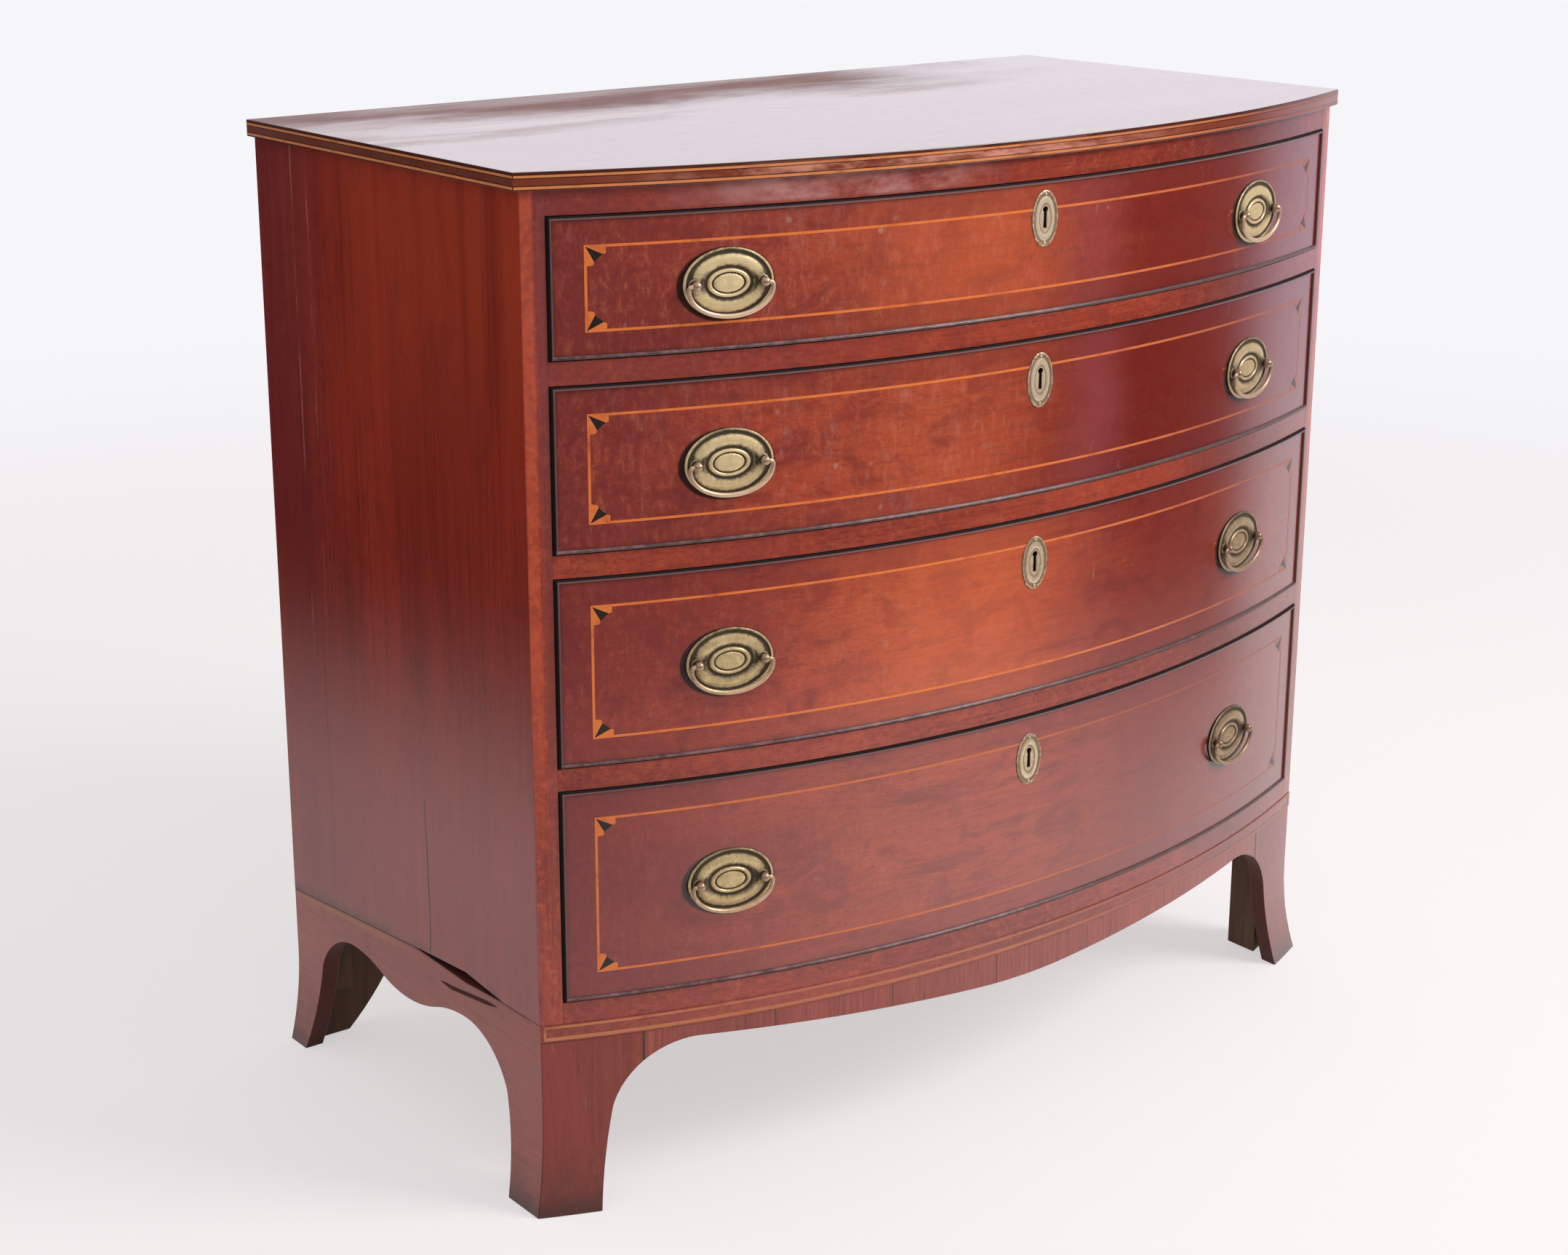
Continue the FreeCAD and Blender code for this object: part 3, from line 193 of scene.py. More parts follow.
def side_finish(name, cracked):
    wood = mahogany(name, "Z", (0.215, 0.014, 0.006), (0.390, 0.030, 0.011), (0.54, 0.060, 0.018),
                    1.1, 0.16, (0, 3.3, 1.1))
    _, back, up = wood.axes()
    behind = back - CORNER_Y
    stripe = wood.noise((1, 1, 0.02), 34, 3, 0.6, 0, (0, 7.7, 0))
    wood.lay(stripe.rise(0.48, 0.72) * 0.5, (0.15, 0.011, 0.008))
    # Painted shade: the upper rear of each side darker and more purple.
    wood.lay(behind.rise(0.30, 0.41) * up.rise(0.35, 0.7) * 0.6, (0.225, 0.027, 0.034))
    # Painted highlight: the upper front of each side brighter red, along the stripes.
    glow = (0.52 - behind).rise(0.06, 0.30) * up.rise(0.55, 0.90) * stripe.rise(0.20, 0.6)
    wood.lay(glow * 0.60, (0.58, 0.062, 0.016))
    # Painted reflection of the floor: each side paler and mauve low down, and less cloudy there.
    pale_sheen = (1 - up.rise(0.32, 0.58)) * (0.62 + up.rise(0.20, 0.34) * 0.38)
    wood.lay(pale_sheen * 0.62, (0.44, 0.135, 0.120))
    # Darker just above the joint with the base board.
    dirt = 1 - seam_height(behind, up).rise(0, 0.014)
    wood.lay(dirt * wood.noise((1, 1, 0.3), 26, 4, 0.7).rise(0.40, 0.6) * 0.5, GRIME)
    if cracked:
        drift = wood.noise(EVEN, 7, 3, 0.6) * 0.016
        split = abs(behind - (CRACK + drift)) - 0.0006 * (1 - up.rise(0.26, 0.37))
        crack = (1 - split.rise(0, 0.0011)) * up.band(0.190, 0.350, 0.006)
        join = 1 - abs(behind - (BOARD_JOIN + drift * 0.3)).rise(0, 0.0012)
        join = join * up.band(0.180, 0.50, 0.05)
        wood.lay(crack * 0.92, GRIME)
        wood.lay(join * 0.5, GRIME)
        wood.relief = wood.relief - crack * 6 - join * 2
    cloud = wood.noise((1, 1, 0.5), 22, 5, 0.7, 0.6, (0, 1.9, 5))
    wood.lay(cloud.rise(0.50, 0.70) * (0.30 - pale_sheen * 0.2), (0.19, 0.016, 0.014))
    if cracked:
        near, far = (behind.band(*line, 0.8 * MM) for line in PALE_LINES)
        edge = near + far
        pale = wood.noise((1, 1, 0.12), 46, 4, 0.7).rise(0.46, 0.62) * up.rise(0.36, 0.62)
        wood.lay(edge * pale * 0.6, (0.62, 0.25, 0.20))
    scuff(wood, 0.32, (0.34, 0.12, 0.11), (0.25, 1, 1))
    return polish(wood, 0.85)


def smooth_shading(solid, angle=0.6):
    solid.data.shade_smooth()
    solid.data.set_sharp_from_angle(angle=angle)


def dress(node, material, width=0.5):
    """Give a solid of the frame its finish, and ease its arrises (mm), as sanding and use do."""
    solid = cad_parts[node]
    for place in solid.material_slots:
        place.material = material
    if "custom_normal" in solid.data.attributes:
        solid.data.attributes.remove(solid.data.attributes["custom_normal"])
    solid.modifiers.new("joined_faces", "WELD").merge_threshold = 0.01 * MM
    flat = solid.modifiers.new("flat_faces", "DECIMATE")
    flat.decimate_type, flat.angle_limit = "DISSOLVE", 0.004
    bevel = solid.modifiers.new("eased_arrises", "BEVEL")
    bevel.width, bevel.segments = width * MM, 2
    bevel.limit_method, bevel.angle_limit = "ANGLE", 0.5
    bevel.use_clamp_overlap = bevel.harden_normals = True
    smooth_shading(solid)


dress("left_side", side_finish("side_board_cracked", True))
dress("right_side", side_finish("side_board", False))

# -------------------- rails, dividers and stile facings
# The rails between the drawers are pine boards, housed into the sides. Their bowed front edges,
# and those of the sides, carry a thin mahogany veneer with much small bright figure.
BOW_RADIUS, BOW_CENTRE = 1248.42 * MM, 963.17 * MM
VENEER = 1.5 * MM
STILE_INNER, STILE_RUBBED, CASE_ARRIS = 480 * MM, 488.5 * MM, 492.5 * MM


def proud_of_bow(finish):
    """How far a place stands before the bowed face of the case."""
    across, back, _ = finish.axes()
    return (across * across + (back - BOW_CENTRE) ** 2) ** 0.5 - BOW_RADIUS


def bare_wood(wood, along, pale=(0.50, 0.30, 0.145), dark=(0.30, 0.155, 0.070), ring=14):
    """Unpolished wood: growth rings drawn out along the grain, and fine fibres."""
    rings = wood.noise(lengthwise(along, 0.09), ring, 4, 0.55, 1.6, (2.9, 0.4, 7.1))
    fibre = wood.noise(lengthwise(along, 0.02), 420, 2, 0.6)
    late = (rings * 7).fraction().rise(0.45, 0.95)
    darkening = wood.noise(EVEN, 6.5, 4, 0.65, 0.3, (5.5, 5.5, 1)).rise(0.46, 0.75)
    colour = wood.blend(late * 0.5 + fibre * 0.3, pale, dark)
    return wood.blend(darkening * 0.45, colour, (0.13, 0.075, 0.045)), fibre


def over_pine(wood):
    """Let the pine core show behind the thin veneer of a bowed edge."""
    core, _ = bare_wood(wood, "X")
    veneered = proud_of_bow(wood).rise(-VENEER - 0.2 * MM, -VENEER)
    wood.colour = wood.blend(veneered, core, wood.colour)
    return veneered


def edge_veneer(name, along, bright=(0.60, 0.110, 0.050), cloudy=0.45):
    wood = mahogany(name, along, (0.230, 0.026, 0.016), (0.42, 0.058, 0.026), bright,
                    1.2, 0.45, (1.1, 0, 4.2))
    wood.lay(wood.noise(EVEN, 110, 5, 0.75, 0.8, (4, 1, 2)).rise(0.44, 0.74) * 0.5, bright)
    cloud = wood.noise(EVEN, 21, 4, 0.7, 0.5, (2, 8, 1)).rise(0.48, 0.68)
    wood.lay(cloud * cloudy, (0.27, 0.034, 0.030))
    across, _, up = wood.axes()
    # Painted highlight: a soft pink sheen on the left part of the top rail.
    pink_patch = across.band(-0.34, -0.10, 0.07) * up.rise(0.928, 0.934)
    sheen_mottle = wood.noise((0.5, 1, 1), 42, 4, 0.65, 0, (3, 3, 3)).rise(0.25, 0.70)
    wood.lay(pink_patch * sheen_mottle * 0.85, (0.66, 0.34, 0.31))
    # Painted shade: the left part of the upper rails darker and more purple, and the right part of the rails
    # darker.
    wood.lay((1 - across.rise(-0.46, -0.10)) * up.rise(0.60, 0.80) * 0.30, (0.32, 0.075, 0.085))
    wood.lay(across.band(0.24, 0.4795, 0.10) * 0.65, (0.150, 0.034, 0.034))
    scuff(wood, 0.35)
    inner = abs(across).band(STILE_INNER, STILE_RUBBED, 1 * MM) * up.rise(0.20, 0.50)
    wood.lay(inner * 0.45, (0.26, 0.060, 0.060))
    rubbed = abs(across).rise(STILE_RUBBED, CASE_ARRIS) * up.rise(0.30, 0.60)
    wood.lay(rubbed * (0.25 + wood.fleck.rise(0.35, 0.65) * 0.35), (0.80, 0.130, 0.045))
    veneered = over_pine(wood)
    wood.rough = wood.rough + (1 - veneered) * 0.35
    return polish(wood, veneered * 0.7)


rail_finish = edge_veneer("rail_edge_veneer", "X")
for node in ("top_rail", "drawer_dividers", "bottom_rail"):
    dress(node, rail_finish, 0.3)
dress("stile_facings", edge_veneer("stile_edge_veneer", "Z", (0.82, 0.150, 0.055), 0.25), 0.3)

# -------------------- hidden framing
# Bottom board, runners, kickers, stops and the rail at the back are poplar from the plane, never
# polished. They are housed and glued, and have gone brown with age and dust.


def poplar(name, along, pale=(0.44, 0.29, 0.155), dark=(0.26, 0.155, 0.078)):
    wood = Finish(name)
    wood.colour, fibre = bare_wood(wood, along, pale, dark, 9)
    return wood.done(0.62 + fibre * 0.25, fibre, 0.5, 0.3 * MM)


poplar_across = poplar("framing_poplar", "X")
for node in ("bottom_board", "back_rail", "drawer_stops"):
    dress(node, poplar_across, 0.3)
dress("runners_and_kickers", poplar("runner_poplar", "Y"), 0.3)

# -------------------- back boards
# Five wide pine boards close the back, laid level in the rabbets of the sides. They are rough from
# the saw, dark from two centuries of air, and held by cut nails with small square heads.
BACK_FACE = 291.25 * MM
LOWEST_BOARD, BOARD_WIDTH = 195, 151.2
NAIL_LINE, NAIL_HALF = 485.5, 2.2 * MM
NAIL_RINGS = ((1, -1.6), (1, -0.48), (0.72, 0))          # reach, and height over the boards in mm


def placed(name, data):
    thing = bpy.data.objects.new(name, data)
    bpy.context.scene.collection.objects.link(thing)
    return thing


def piece(name, shape, material, body, angle=0.6, dirt=()):
    """A new piece of the chest, smooth but for its sharp edges, riding on its body. For brass, the
    last argument says how dirty each point is, and on handle plates how much shade is painted on."""
    mesh = bpy.data.meshes.new(name)
    mesh.from_pydata([tuple(vert) for vert in shape.verts], [], shape.faces)
    mesh.materials.append(material)
    thing = placed(name, mesh)
    smooth_shading(thing, angle)
    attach(thing, body)
    if dirt:
        mesh.attributes.new("dirt", "FLOAT", "POINT").data.foreach_set("value", dirt)
    return thing


class Shape:
    """Points and faces collected for one mesh."""

    def __init__(self):
        self.verts, self.faces = [], []

    def add(self, verts, faces):
        start = len(self.verts)
        self.verts += verts
        self.faces += [tuple(index + start for index in face) for face in faces]

    def loft(self, rings, closed_round=True, caps=True, joined=False):
        """Join rings of points one to the next, and close the ends or join them too."""
        count, size = len(rings[0]), len(rings) * len(rings[0])
        faces = []
        for low in range(0, size if joined else size - count, count):
            for step in range(count if closed_round else count - 1):
                after, next_low = (step + 1) % count, (low + count) % size
                faces.append((low + step, low + after, next_low + after, next_low + step))
        if caps:
            faces += [tuple(reversed(range(count))), tuple(range(size - count, size))]
        self.add([point for ring in rings for point in ring], faces)


pine = Finish("back_pine")
pine.colour, pine_fibre = bare_wood(pine, "X", (0.33, 0.205, 0.110), (0.185, 0.105, 0.055))
saw_marks = pine.noise((60, 1, 0.6), 6, 2, 0.6, 0.4)
pine.lay(saw_marks.rise(0.45, 0.7) * 0.3, (0.10, 0.060, 0.036))
pine_relief = pine_fibre * 0.6 + saw_marks * 0.5
dress("back_boards", pine.done(0.75 + pine_fibre * 0.2, pine_relief, 0.6, 0.5 * MM), 0.4)

nail_iron = Finish("nail_iron", Metallic=0.85)
rust = nail_iron.noise(EVEN, 700, 4, 0.7)
nail_iron.set(Base_Color=nail_iron.blend(rust.rise(0.4, 0.65), (0.045, 0.038, 0.034), (0.15, 0.060, 0.028)),
              Roughness=0.55 + rust * 0.3)
nails = Shape()
nail_places = random.Random(11)
for row in range(5):
    for line in (-NAIL_LINE, NAIL_LINE):
        for share in (0.2, 0.8):
            up = (LOWEST_BOARD + (row + share) * BOARD_WIDTH + nail_places.uniform(-6, 6)) * MM
            across = (line + nail_places.uniform(-1.5, 1.5)) * MM
            turn = nail_places.uniform(-0.5, 0.5) + math.pi / 4
            nails.loft([[(across + NAIL_HALF * reach * math.cos(turn + corner * math.pi / 2),
                          BACK_FACE + rise * MM,
                          up + NAIL_HALF * reach * math.sin(turn + corner * math.pi / 2))
                         for corner in range(4)] for reach, rise in NAIL_RINGS])
piece("back_nails", nails, nail_iron.material, "case", 0.3)

# -------------------- base boards, feet and front apron
# The base boards carry the splayed feet and wavy aprons in one, sawn from mahogany and mitred at the
# front corners. The bowed foot faces and the apron between them are veneered, in several pieces.
APRON_SEAM, APRON_LEAF = 410 * MM, 125.5 * MM
SPLIT_ENDS, SPLIT_HALF = (82 * MM, 170 * MM), 1.9 * MM          # behind the corner, half as wide
SPLIT_HEIGHT, SPLIT_TURN, SPLIT_SLOPE = 170.4 * MM, 157 * MM, 0.123
SIDE_TONES = ((0.330, 0.070, 0.052), (0.50, 0.120, 0.085), (0.60, 0.160, 0.095))
FOOT_TONES = ((0.185, 0.020, 0.011), (0.31, 0.038, 0.019), (0.44, 0.070, 0.028))


def base_finish(name, along, side=False):
    tones = SIDE_TONES if side else FOOT_TONES
    wood = mahogany(name, along, *tones, 0.70, 0.25, (6.3, 2.2, 0.4), pores=0.2)
    across, back, up = wood.axes()
    raw = 1 - abs(wood.axes("Normal")[0 if side else 1]).rise(0.35, 0.65)       # the sawn edges
    wood.lay(raw * 0.85, (0.060, 0.019, 0.015))
    # Darker towards the bottom, with a ragged edge.
    ragged = wood.noise(EVEN, 38, 4, 0.7, 0.5)
    wood.lay((1 - (up + ragged * 0.012).rise(0.008, 0.030)) * 0.70, (0.045, 0.022, 0.017))
    wood.lay((1 - (up + ragged * 0.10).rise(0.05, 0.13)) * 0.45, (0.085, 0.028, 0.020))
    wood.lay((1 - abs(abs(across) - APRON_SEAM).rise(0.0006, 0.0016)) * 0.85, GRIME)
    if side:                                            # a split, a chipped strip and a worn lip
        behind = back - CORNER_Y
        line = up - SPLIT_HEIGHT - (SPLIT_TURN - behind).at_least(0) * SPLIT_SLOPE
        width = behind.band(*SPLIT_ENDS, 0.012) * SPLIT_HALF
        split = (1 - (abs(line) - width).rise(0, 0.0008)) * width.rise(0, 0.0005)
        split = split * (1 - across.rise(-0.3, -0.29))
        raw = raw.at_least(split)
        wood.lay(split * 0.85, (0.030, 0.010, 0.009))
        below = seam_height(behind, up)
        chipped = (below + wood.noise((1, 0.35, 1), 75, 5, 0.75) * 0.018).rise(-0.003, 0.005)
        wood.lay(chipped * behind.rise(0.22, 0.30) * 0.75, (0.50, 0.165, 0.050))
        wood.lay(below.rise(-0.0035, -0.0012) * behind.rise(0.015, 0.03) * 0.55, GRIME)
    scuff(wood, 0.5, (0.42, 0.20, 0.17))
    wood.rough = wood.rough + raw * 0.5
    return polish(wood, 0.6 - raw * 0.6, 0.2 * MM)


side_base_finish = base_finish("base_board", "Y", side=True)
dress("left_base_board", side_base_finish, 0.8)
dress("right_base_board", side_base_finish, 0.8)
dress("foot_faces", base_finish("foot_face", "Z"), 0.8)

apron = mahogany("apron_veneer", "Z", (0.260, 0.042, 0.028), (0.40, 0.070, 0.042), (0.52, 0.115, 0.060),
                 0.85, 0.3, (2.4, 0, 3))
across = apron.axes()[0]
leaf = (across + APRON_SEAM) / APRON_LEAF
leaf_number = leaf.floor()
leaf_tone = apron.node("TexWhiteNoise", {"noise_dimensions": "1D"}, {"W": leaf_number})
apron.lay(leaf_tone * 0.30, (0.20, 0.042, 0.034))
leaf_joint = (abs(leaf - leaf_number - 0.5) - 0.5).rise(-0.010, -0.004)
seam = 1 - abs(abs(across) - APRON_SEAM).rise(0.0008, 0.0020)
apron.lay((leaf_joint * 0.6).at_least(seam * 0.85), GRIME)
apron.lay(apron.fibre.rise(0.5, 0.75) * 0.3, (0.48, 0.15, 0.075))
scuff(apron, 0.6, (0.50, 0.26, 0.20), EVEN)
over_pine(apron)
dress("front_apron", polish(apron, 0.55), 0.6)

bracket_wood = poplar("bracket_poplar", "Z", (0.135, 0.068, 0.040), (0.070, 0.034, 0.021))
for node in ("rear_brackets", "glue_blocks"):
    dress(node, bracket_wood, 0.8)

# -------------------- base band
# A thin mahogany band covers the joint over the feet. Two strings of light wood are let into it,
# scraped flush and polished over.
STRING_PROUD, STRING_DEEP = 0.12 * MM, 0.5 * MM
BAND_PROUD = 0.8 * MM + STRING_PROUD
BAND_STRINGS = ((173.6 * MM, 177.0 * MM), (185.6 * MM, 187.9 * MM))
BAND_END = 497.5 * MM


def on_bow(across, up, proud):
    """A point of the bowed front, so far before the face of the case."""
    return Vector((across, BOW_CENTRE - math.sqrt((BOW_RADIUS + proud) ** 2 - across ** 2), up))


def bowed_slip(shape, start, end, low, high, proud, steps=64):
    """A thin slip of wood let into the bowed front, from start to end."""
    behind = proud - STRING_DEEP
    stations = [start + (end - start) * step / steps for step in range(steps + 1)]
    shape.loft([[on_bow(across, low, behind), on_bow(across, high, behind), on_bow(across, high, proud),
                 on_bow(across, low, proud)] for across in stations])


def string_wood(name, pale=(0.88, 0.215, 0.038), worn=(0.56, 0.085, 0.024), right_dimming=0.75):
    wood = Finish(name, Coat_Roughness=0.16, Coat_IOR=1.5, IOR=1.46)
    across, _, up = wood.axes()
    fade = wood.noise(EVEN, 24, 4, 0.65, 0.5, (1, 3, 9))
    nick = wood.noise(EVEN, 160, 3, 0.7)
    wood.colour = wood.blend(fade.rise(0.50, 0.72) * 0.8, pale, worn)
    wood.lay(nick.rise(0.60, 0.75) * 0.5, (0.20, 0.055, 0.028))
    # Painted shade: the strings darker and browner towards the right, the lowest ones more so.
    wood.lay((across + fade * 0.1).rise(-0.10, 0.24) * 0.45, (0.56, 0.145, 0.070))
    wood.lay((across + fade * 0.1).rise(0.16, 0.44) * right_dimming, (0.23, 0.040, 0.022))
    lowest = up.band(0.100, 0.420, 0.004)
    wood.lay(lowest * (across + fade * 0.2).rise(-0.45, -0.10) * 0.45, (0.42, 0.100, 0.045))
    wood.lay(lowest * (across + fade * 0.2).rise(0.02, 0.30) * 0.80, (0.30, 0.070, 0.045))
    return wood.done(0.32 + nick * 0.15, nick, 0.2, 0.1 * MM, Coat_Weight=0.6)


dress("base_band", edge_veneer("band_veneer", "X", (0.44, 0.12, 0.05)), 0.3)
band_strings = Shape()
for low, high in BAND_STRINGS:
    bowed_slip(band_strings, -BAND_END, BAND_END, low, high, BAND_PROUD)
for start in (-BAND_END - 0.4 * MM, BAND_END - 1.6 * MM):
    bowed_slip(band_strings, start, start + 2 * MM, BAND_STRINGS[0][1], BAND_STRINGS[1][0], BAND_PROUD, 1)
piece("base_band_strings", band_strings,
      string_wood("band_string_wood", (0.62, 0.20, 0.075), (0.42, 0.085, 0.038), 0.3), "case")

# -------------------- top board
# The top is one wide mahogany board, screwed up from below. Its thick polish is level and glossy,
# and two strings of light wood run along its edge on the front and both sides.
TOP_FACE, TOP_HALF, TOP_PROUD = 967 * MM, 508 * MM, 6 * MM
TOP_STRINGS = ((952.4 * MM, 954.6 * MM), (962.0 * MM, 964.0 * MM))
SHADE_LINES = ((0.9510, 0.9523), (0.9547, 0.9556), (0.9611, 0.9619), (0.9641, 0.9668))

top = mahogany("top_board", "X", (0.12, 0.030, 0.022), (0.24, 0.070, 0.048), (0.38, 0.130, 0.075),
               1.1, 0.25, (0.6, 5.1, 0), gloss=0.2)
across, back, up = top.axes()
haze = top.noise((0.30, 1, 1), 11, 5, 0.60, 0.5, (2.2, 1.1, 0.3))
rear = (back + haze * 0.26).rise(0.17, 0.36) * (1 - across.rise(0.14, 0.36))
dull = haze.rise(0.44, 0.64) * (back - across * 0.25).rise(0, 0.24) * 0.6
dull = dull.at_least(rear * (0.60 + haze.rise(0.34, 0.66) * 0.40))
top.lay(dull * 0.75, (0.23, 0.070, 0.052))
edge = 1 - up.rise(TOP_FACE - 1.5 * MM, TOP_FACE - 0.6 * MM)
top.lay(edge * 0.5, (0.20, 0.042, 0.022))
front_edge = edge * proud_of_bow(top).rise(TOP_PROUD - 1.5 * MM, TOP_PROUD - 0.5 * MM)
top.lay(front_edge * 0.7, (0.27, 0.055, 0.026))
# Painted highlight: a pale salmon sheen over the middle of the front edge.
pale_sheen = across.band(-0.34, 0.10, 0.13) * top.noise((0.2, 1, 1), 60, 4, 0.7).rise(0.35, 0.6)
top.lay(front_edge * pale_sheen * 0.9, (0.78, 0.34, 0.24))
# Painted shade: thin dark lines at the arris, beside each string and under the edge, as on a moulded edge.
for low, high in SHADE_LINES:
    top.lay(up.band(low, high, 0.0002) * 0.8, (0.055, 0.016, 0.012))
top.rough = top.rough * 0.5 + dull * 0.42 + top.fleck.rise(0.5, 0.8) * 0.06
dress("top_board", polish(top, 1 - dull * 0.95, 0.06 * MM), 0.7)

top_strings = Shape()
for low, high in TOP_STRINGS:
    bowed_slip(top_strings, -TOP_HALF + 0.6 * MM, TOP_HALF - 0.6 * MM, low, high,
               TOP_PROUD + STRING_PROUD, 72)
    front_end = on_bow(TOP_HALF, low, TOP_PROUD).y + 0.8 * MM
    for side in (-1, 1):
        outer, inner = side * (TOP_HALF + STRING_PROUD), side * (TOP_HALF - STRING_DEEP)
        top_strings.loft([[(inner, y, low), (inner, y, high), (outer, y, high), (outer, y, low)]
                          for y in (front_end, BACK_FACE - 0.5 * MM)])
piece("top_strings", top_strings,
      string_wood("top_string_wood", (0.80, 0.27, 0.085), (0.46, 0.105, 0.040)), "case")

# -------------------- drawer fronts
# Each front is sawn to the bow from a thick board and veneered with mahogany. The veneer is cut at
# the string line, and the strip outside it is a little more purple. Old dents and rubs show.
HEIGHTS = {  # floor and ceiling of the opening, low and high string, handle, escutcheon, in mm
    1: (804.5, 929, 829.6, 902, 863.7, 893), 2: (633.5, 783.5, 660.5, 756.5, 705, 743),
    3: (436.5, 612.5, 463.4, 585, 522.5, 566.5), 4: (210, 415.5, 238, 386.5, 311, 369)}
FLOORS, CEILINGS, STRING_LOW, STRING_HIGH, HANDLE_HEIGHTS, KEY_HEIGHTS = (
    {n: row[place] * MM for n, row in HEIGHTS.items()} for place in range(6))
LOOKS = {  # lively, dull, streaky, painted sheen, painted shade left, painted shade right from, how dark, purple
    1: (1.0, 0.25, 0.40, 0.30, 0.74, 0.06, 0.88, 0.36), 2: (0.8, 0.1, 0.45, 0.12, 0.80, 0.0, 0.98, 0.44),
    3: (0.35, 0.0, 0.50, 0.42, 0.70, 0.06, 0.80, 0.1), 4: (0.3, 0.45, 0.65, 0.0, 0.80, 0.06, 0.76, 0.0)}
STRING_END, STRING_WIDTH = 449 * MM, 2.3 * MM
DRAWER_HALF, HANDLE_X = 479.5 * MM, 328 * MM
PLATE_WIDE, PLATE_HIGH = 42 * MM, 31 * MM         # half of a handle plate
LEAF_PROUD, LEAF_HALF, LEAF_INSET = 0.15 * MM, 476 * MM, 4.3 * MM
KEY_EYE = 8.7                                     # over the middle of the escutcheon, in mm


def front_finish(n):
    lively, dull, streaky, middle_sheen, shaded, right_shade_from, right_shade_depth, purple = LOOKS[n]
    wood = mahogany(f"drawer_{n}_veneer", "X", (0.330, 0.040, 0.017), (0.540, 0.075, 0.028),
                    (0.70, 0.135, 0.038), 0.9, 0.2 + 0.3 * lively, (n * 2.7, 0, n * 1.9))
    across, _, up = wood.axes()
    cross = wood.noise((1, 1, 0.42), 165, 5, 0.74, 0.4, (n, 0, 0))
    wood.lay(cross.rise(0.47, 0.66) * 0.55 * lively, (0.62, 0.165, 0.095))
    cloud = wood.noise((1, 1, 1.6), 17, 5, 0.7, 0.8, (n * 1.7, 0, 4))
    wood.lay(cloud.rise(0.47, 0.64) * 0.65, (0.23, 0.022, 0.022))
    streak = wood.noise((0.10, 1, 1), 70, 4, 0.7, 0.3, (n * 0.7, 0, 2))
    wood.lay(streak.rise(0.50, 0.70) * streaky, (0.17, 0.018, 0.014))
    pink_patch = wood.noise((1, 1, 0.40), 48, 6, 0.80, 0.2, (n * 3.1, 0, 7)).rise(0.52, 0.76)
    wood.lay(pink_patch * (1 - across.rise(-0.06, 0.20)) * lively * 0.55, (0.60, 0.27, 0.235))
    dents = wood.node("TexVoronoi", {"feature": "F1"}, {
        "Vector": wood.stretched(EVEN, (n * 0.37, 0, n * 0.61)), "Scale": 30})
    dented = (1 - dents.rise(0.05, 0.13)) * wood.figure.rise(0.50, 0.56)
    wood.lay(dented * (1 - across.rise(-0.1, 0)) * 0.6 * lively, (0.66, 0.36, 0.29))
    wood.lay(dull * 0.8, (0.33, 0.070, 0.048))
    # Painted sheen: the middle of each front brighter and more orange.
    wood.lay(across.band(-0.19, 0.04, 0.10) * middle_sheen, (0.86, 0.170, 0.046))
    # Painted shade: the left part of each front darker and more purple, and its right part darker.
    wavering = across + wood.figure * 0.2
    mottled = (cross * 0.65 + cloud * 0.35).rise(0.44, 0.58) * (0.35 + 0.5 * lively)
    wood.lay((1 - wavering.rise(-0.36, -0.12)) * (shaded - mottled * 0.58), (0.220, 0.027, 0.029))
    wood.lay(wavering.rise(right_shade_from, right_shade_from + 0.24) * right_shade_depth, (0.200, 0.013, 0.006))
    wood.lay((across + wood.figure * 0.08).band(0.080, 0.145, 0.030) * purple, (0.36, 0.070, 0.082))
    half, middle = (STRING_HIGH[n] - STRING_LOW[n]) / 2, (STRING_HIGH[n] + STRING_LOW[n]) / 2
    outside = abs(across).rise(STRING_END, STRING_END + 0.8 * MM)
    outside = outside.at_least(abs(up - middle).rise(half, half + 0.8 * MM))
    wood.lay(outside * 0.30, (0.20, 0.026, 0.024))
    # Darker along the top, bottom and ends of each front.
    edge, centre = (CEILINGS[n] - FLOORS[n]) / 2 - 1 * MM, (CEILINGS[n] + FLOORS[n]) / 2
    darkening = (abs(up - centre) + wood.fleck * 0.006).rise(edge - 5 * MM, edge + 3 * MM)
    ends = (abs(across) + wood.fleck * 0.006).rise(DRAWER_HALF - 6 * MM, DRAWER_HALF + 2.5 * MM)
    wood.lay(darkening.at_least(ends) * 0.5, (0.075, 0.018, 0.016))
    # Painted shadow: a dark ring round each handle plate, a little to the left and below it.
    beside = (abs(across + 2 * MM) - HANDLE_X) / PLATE_WIDE
    above = (up - HANDLE_HEIGHTS[n] + 1.2 * MM) / PLATE_HIGH
    plate_shadow_reach = (beside * beside + above * above) ** 0.5 + wood.fleck * 0.04
    wood.lay((1 - plate_shadow_reach.rise(1.03, 1.10)) * 0.95, (0.022, 0.008, 0.007))
    scuff(wood, 0.20 + 0.45 * lively, (0.55, 0.33, 0.28), (1, 1, 0.45))
    wood.relief = wood.relief + cross * 0.2
    return polish(wood, 1)


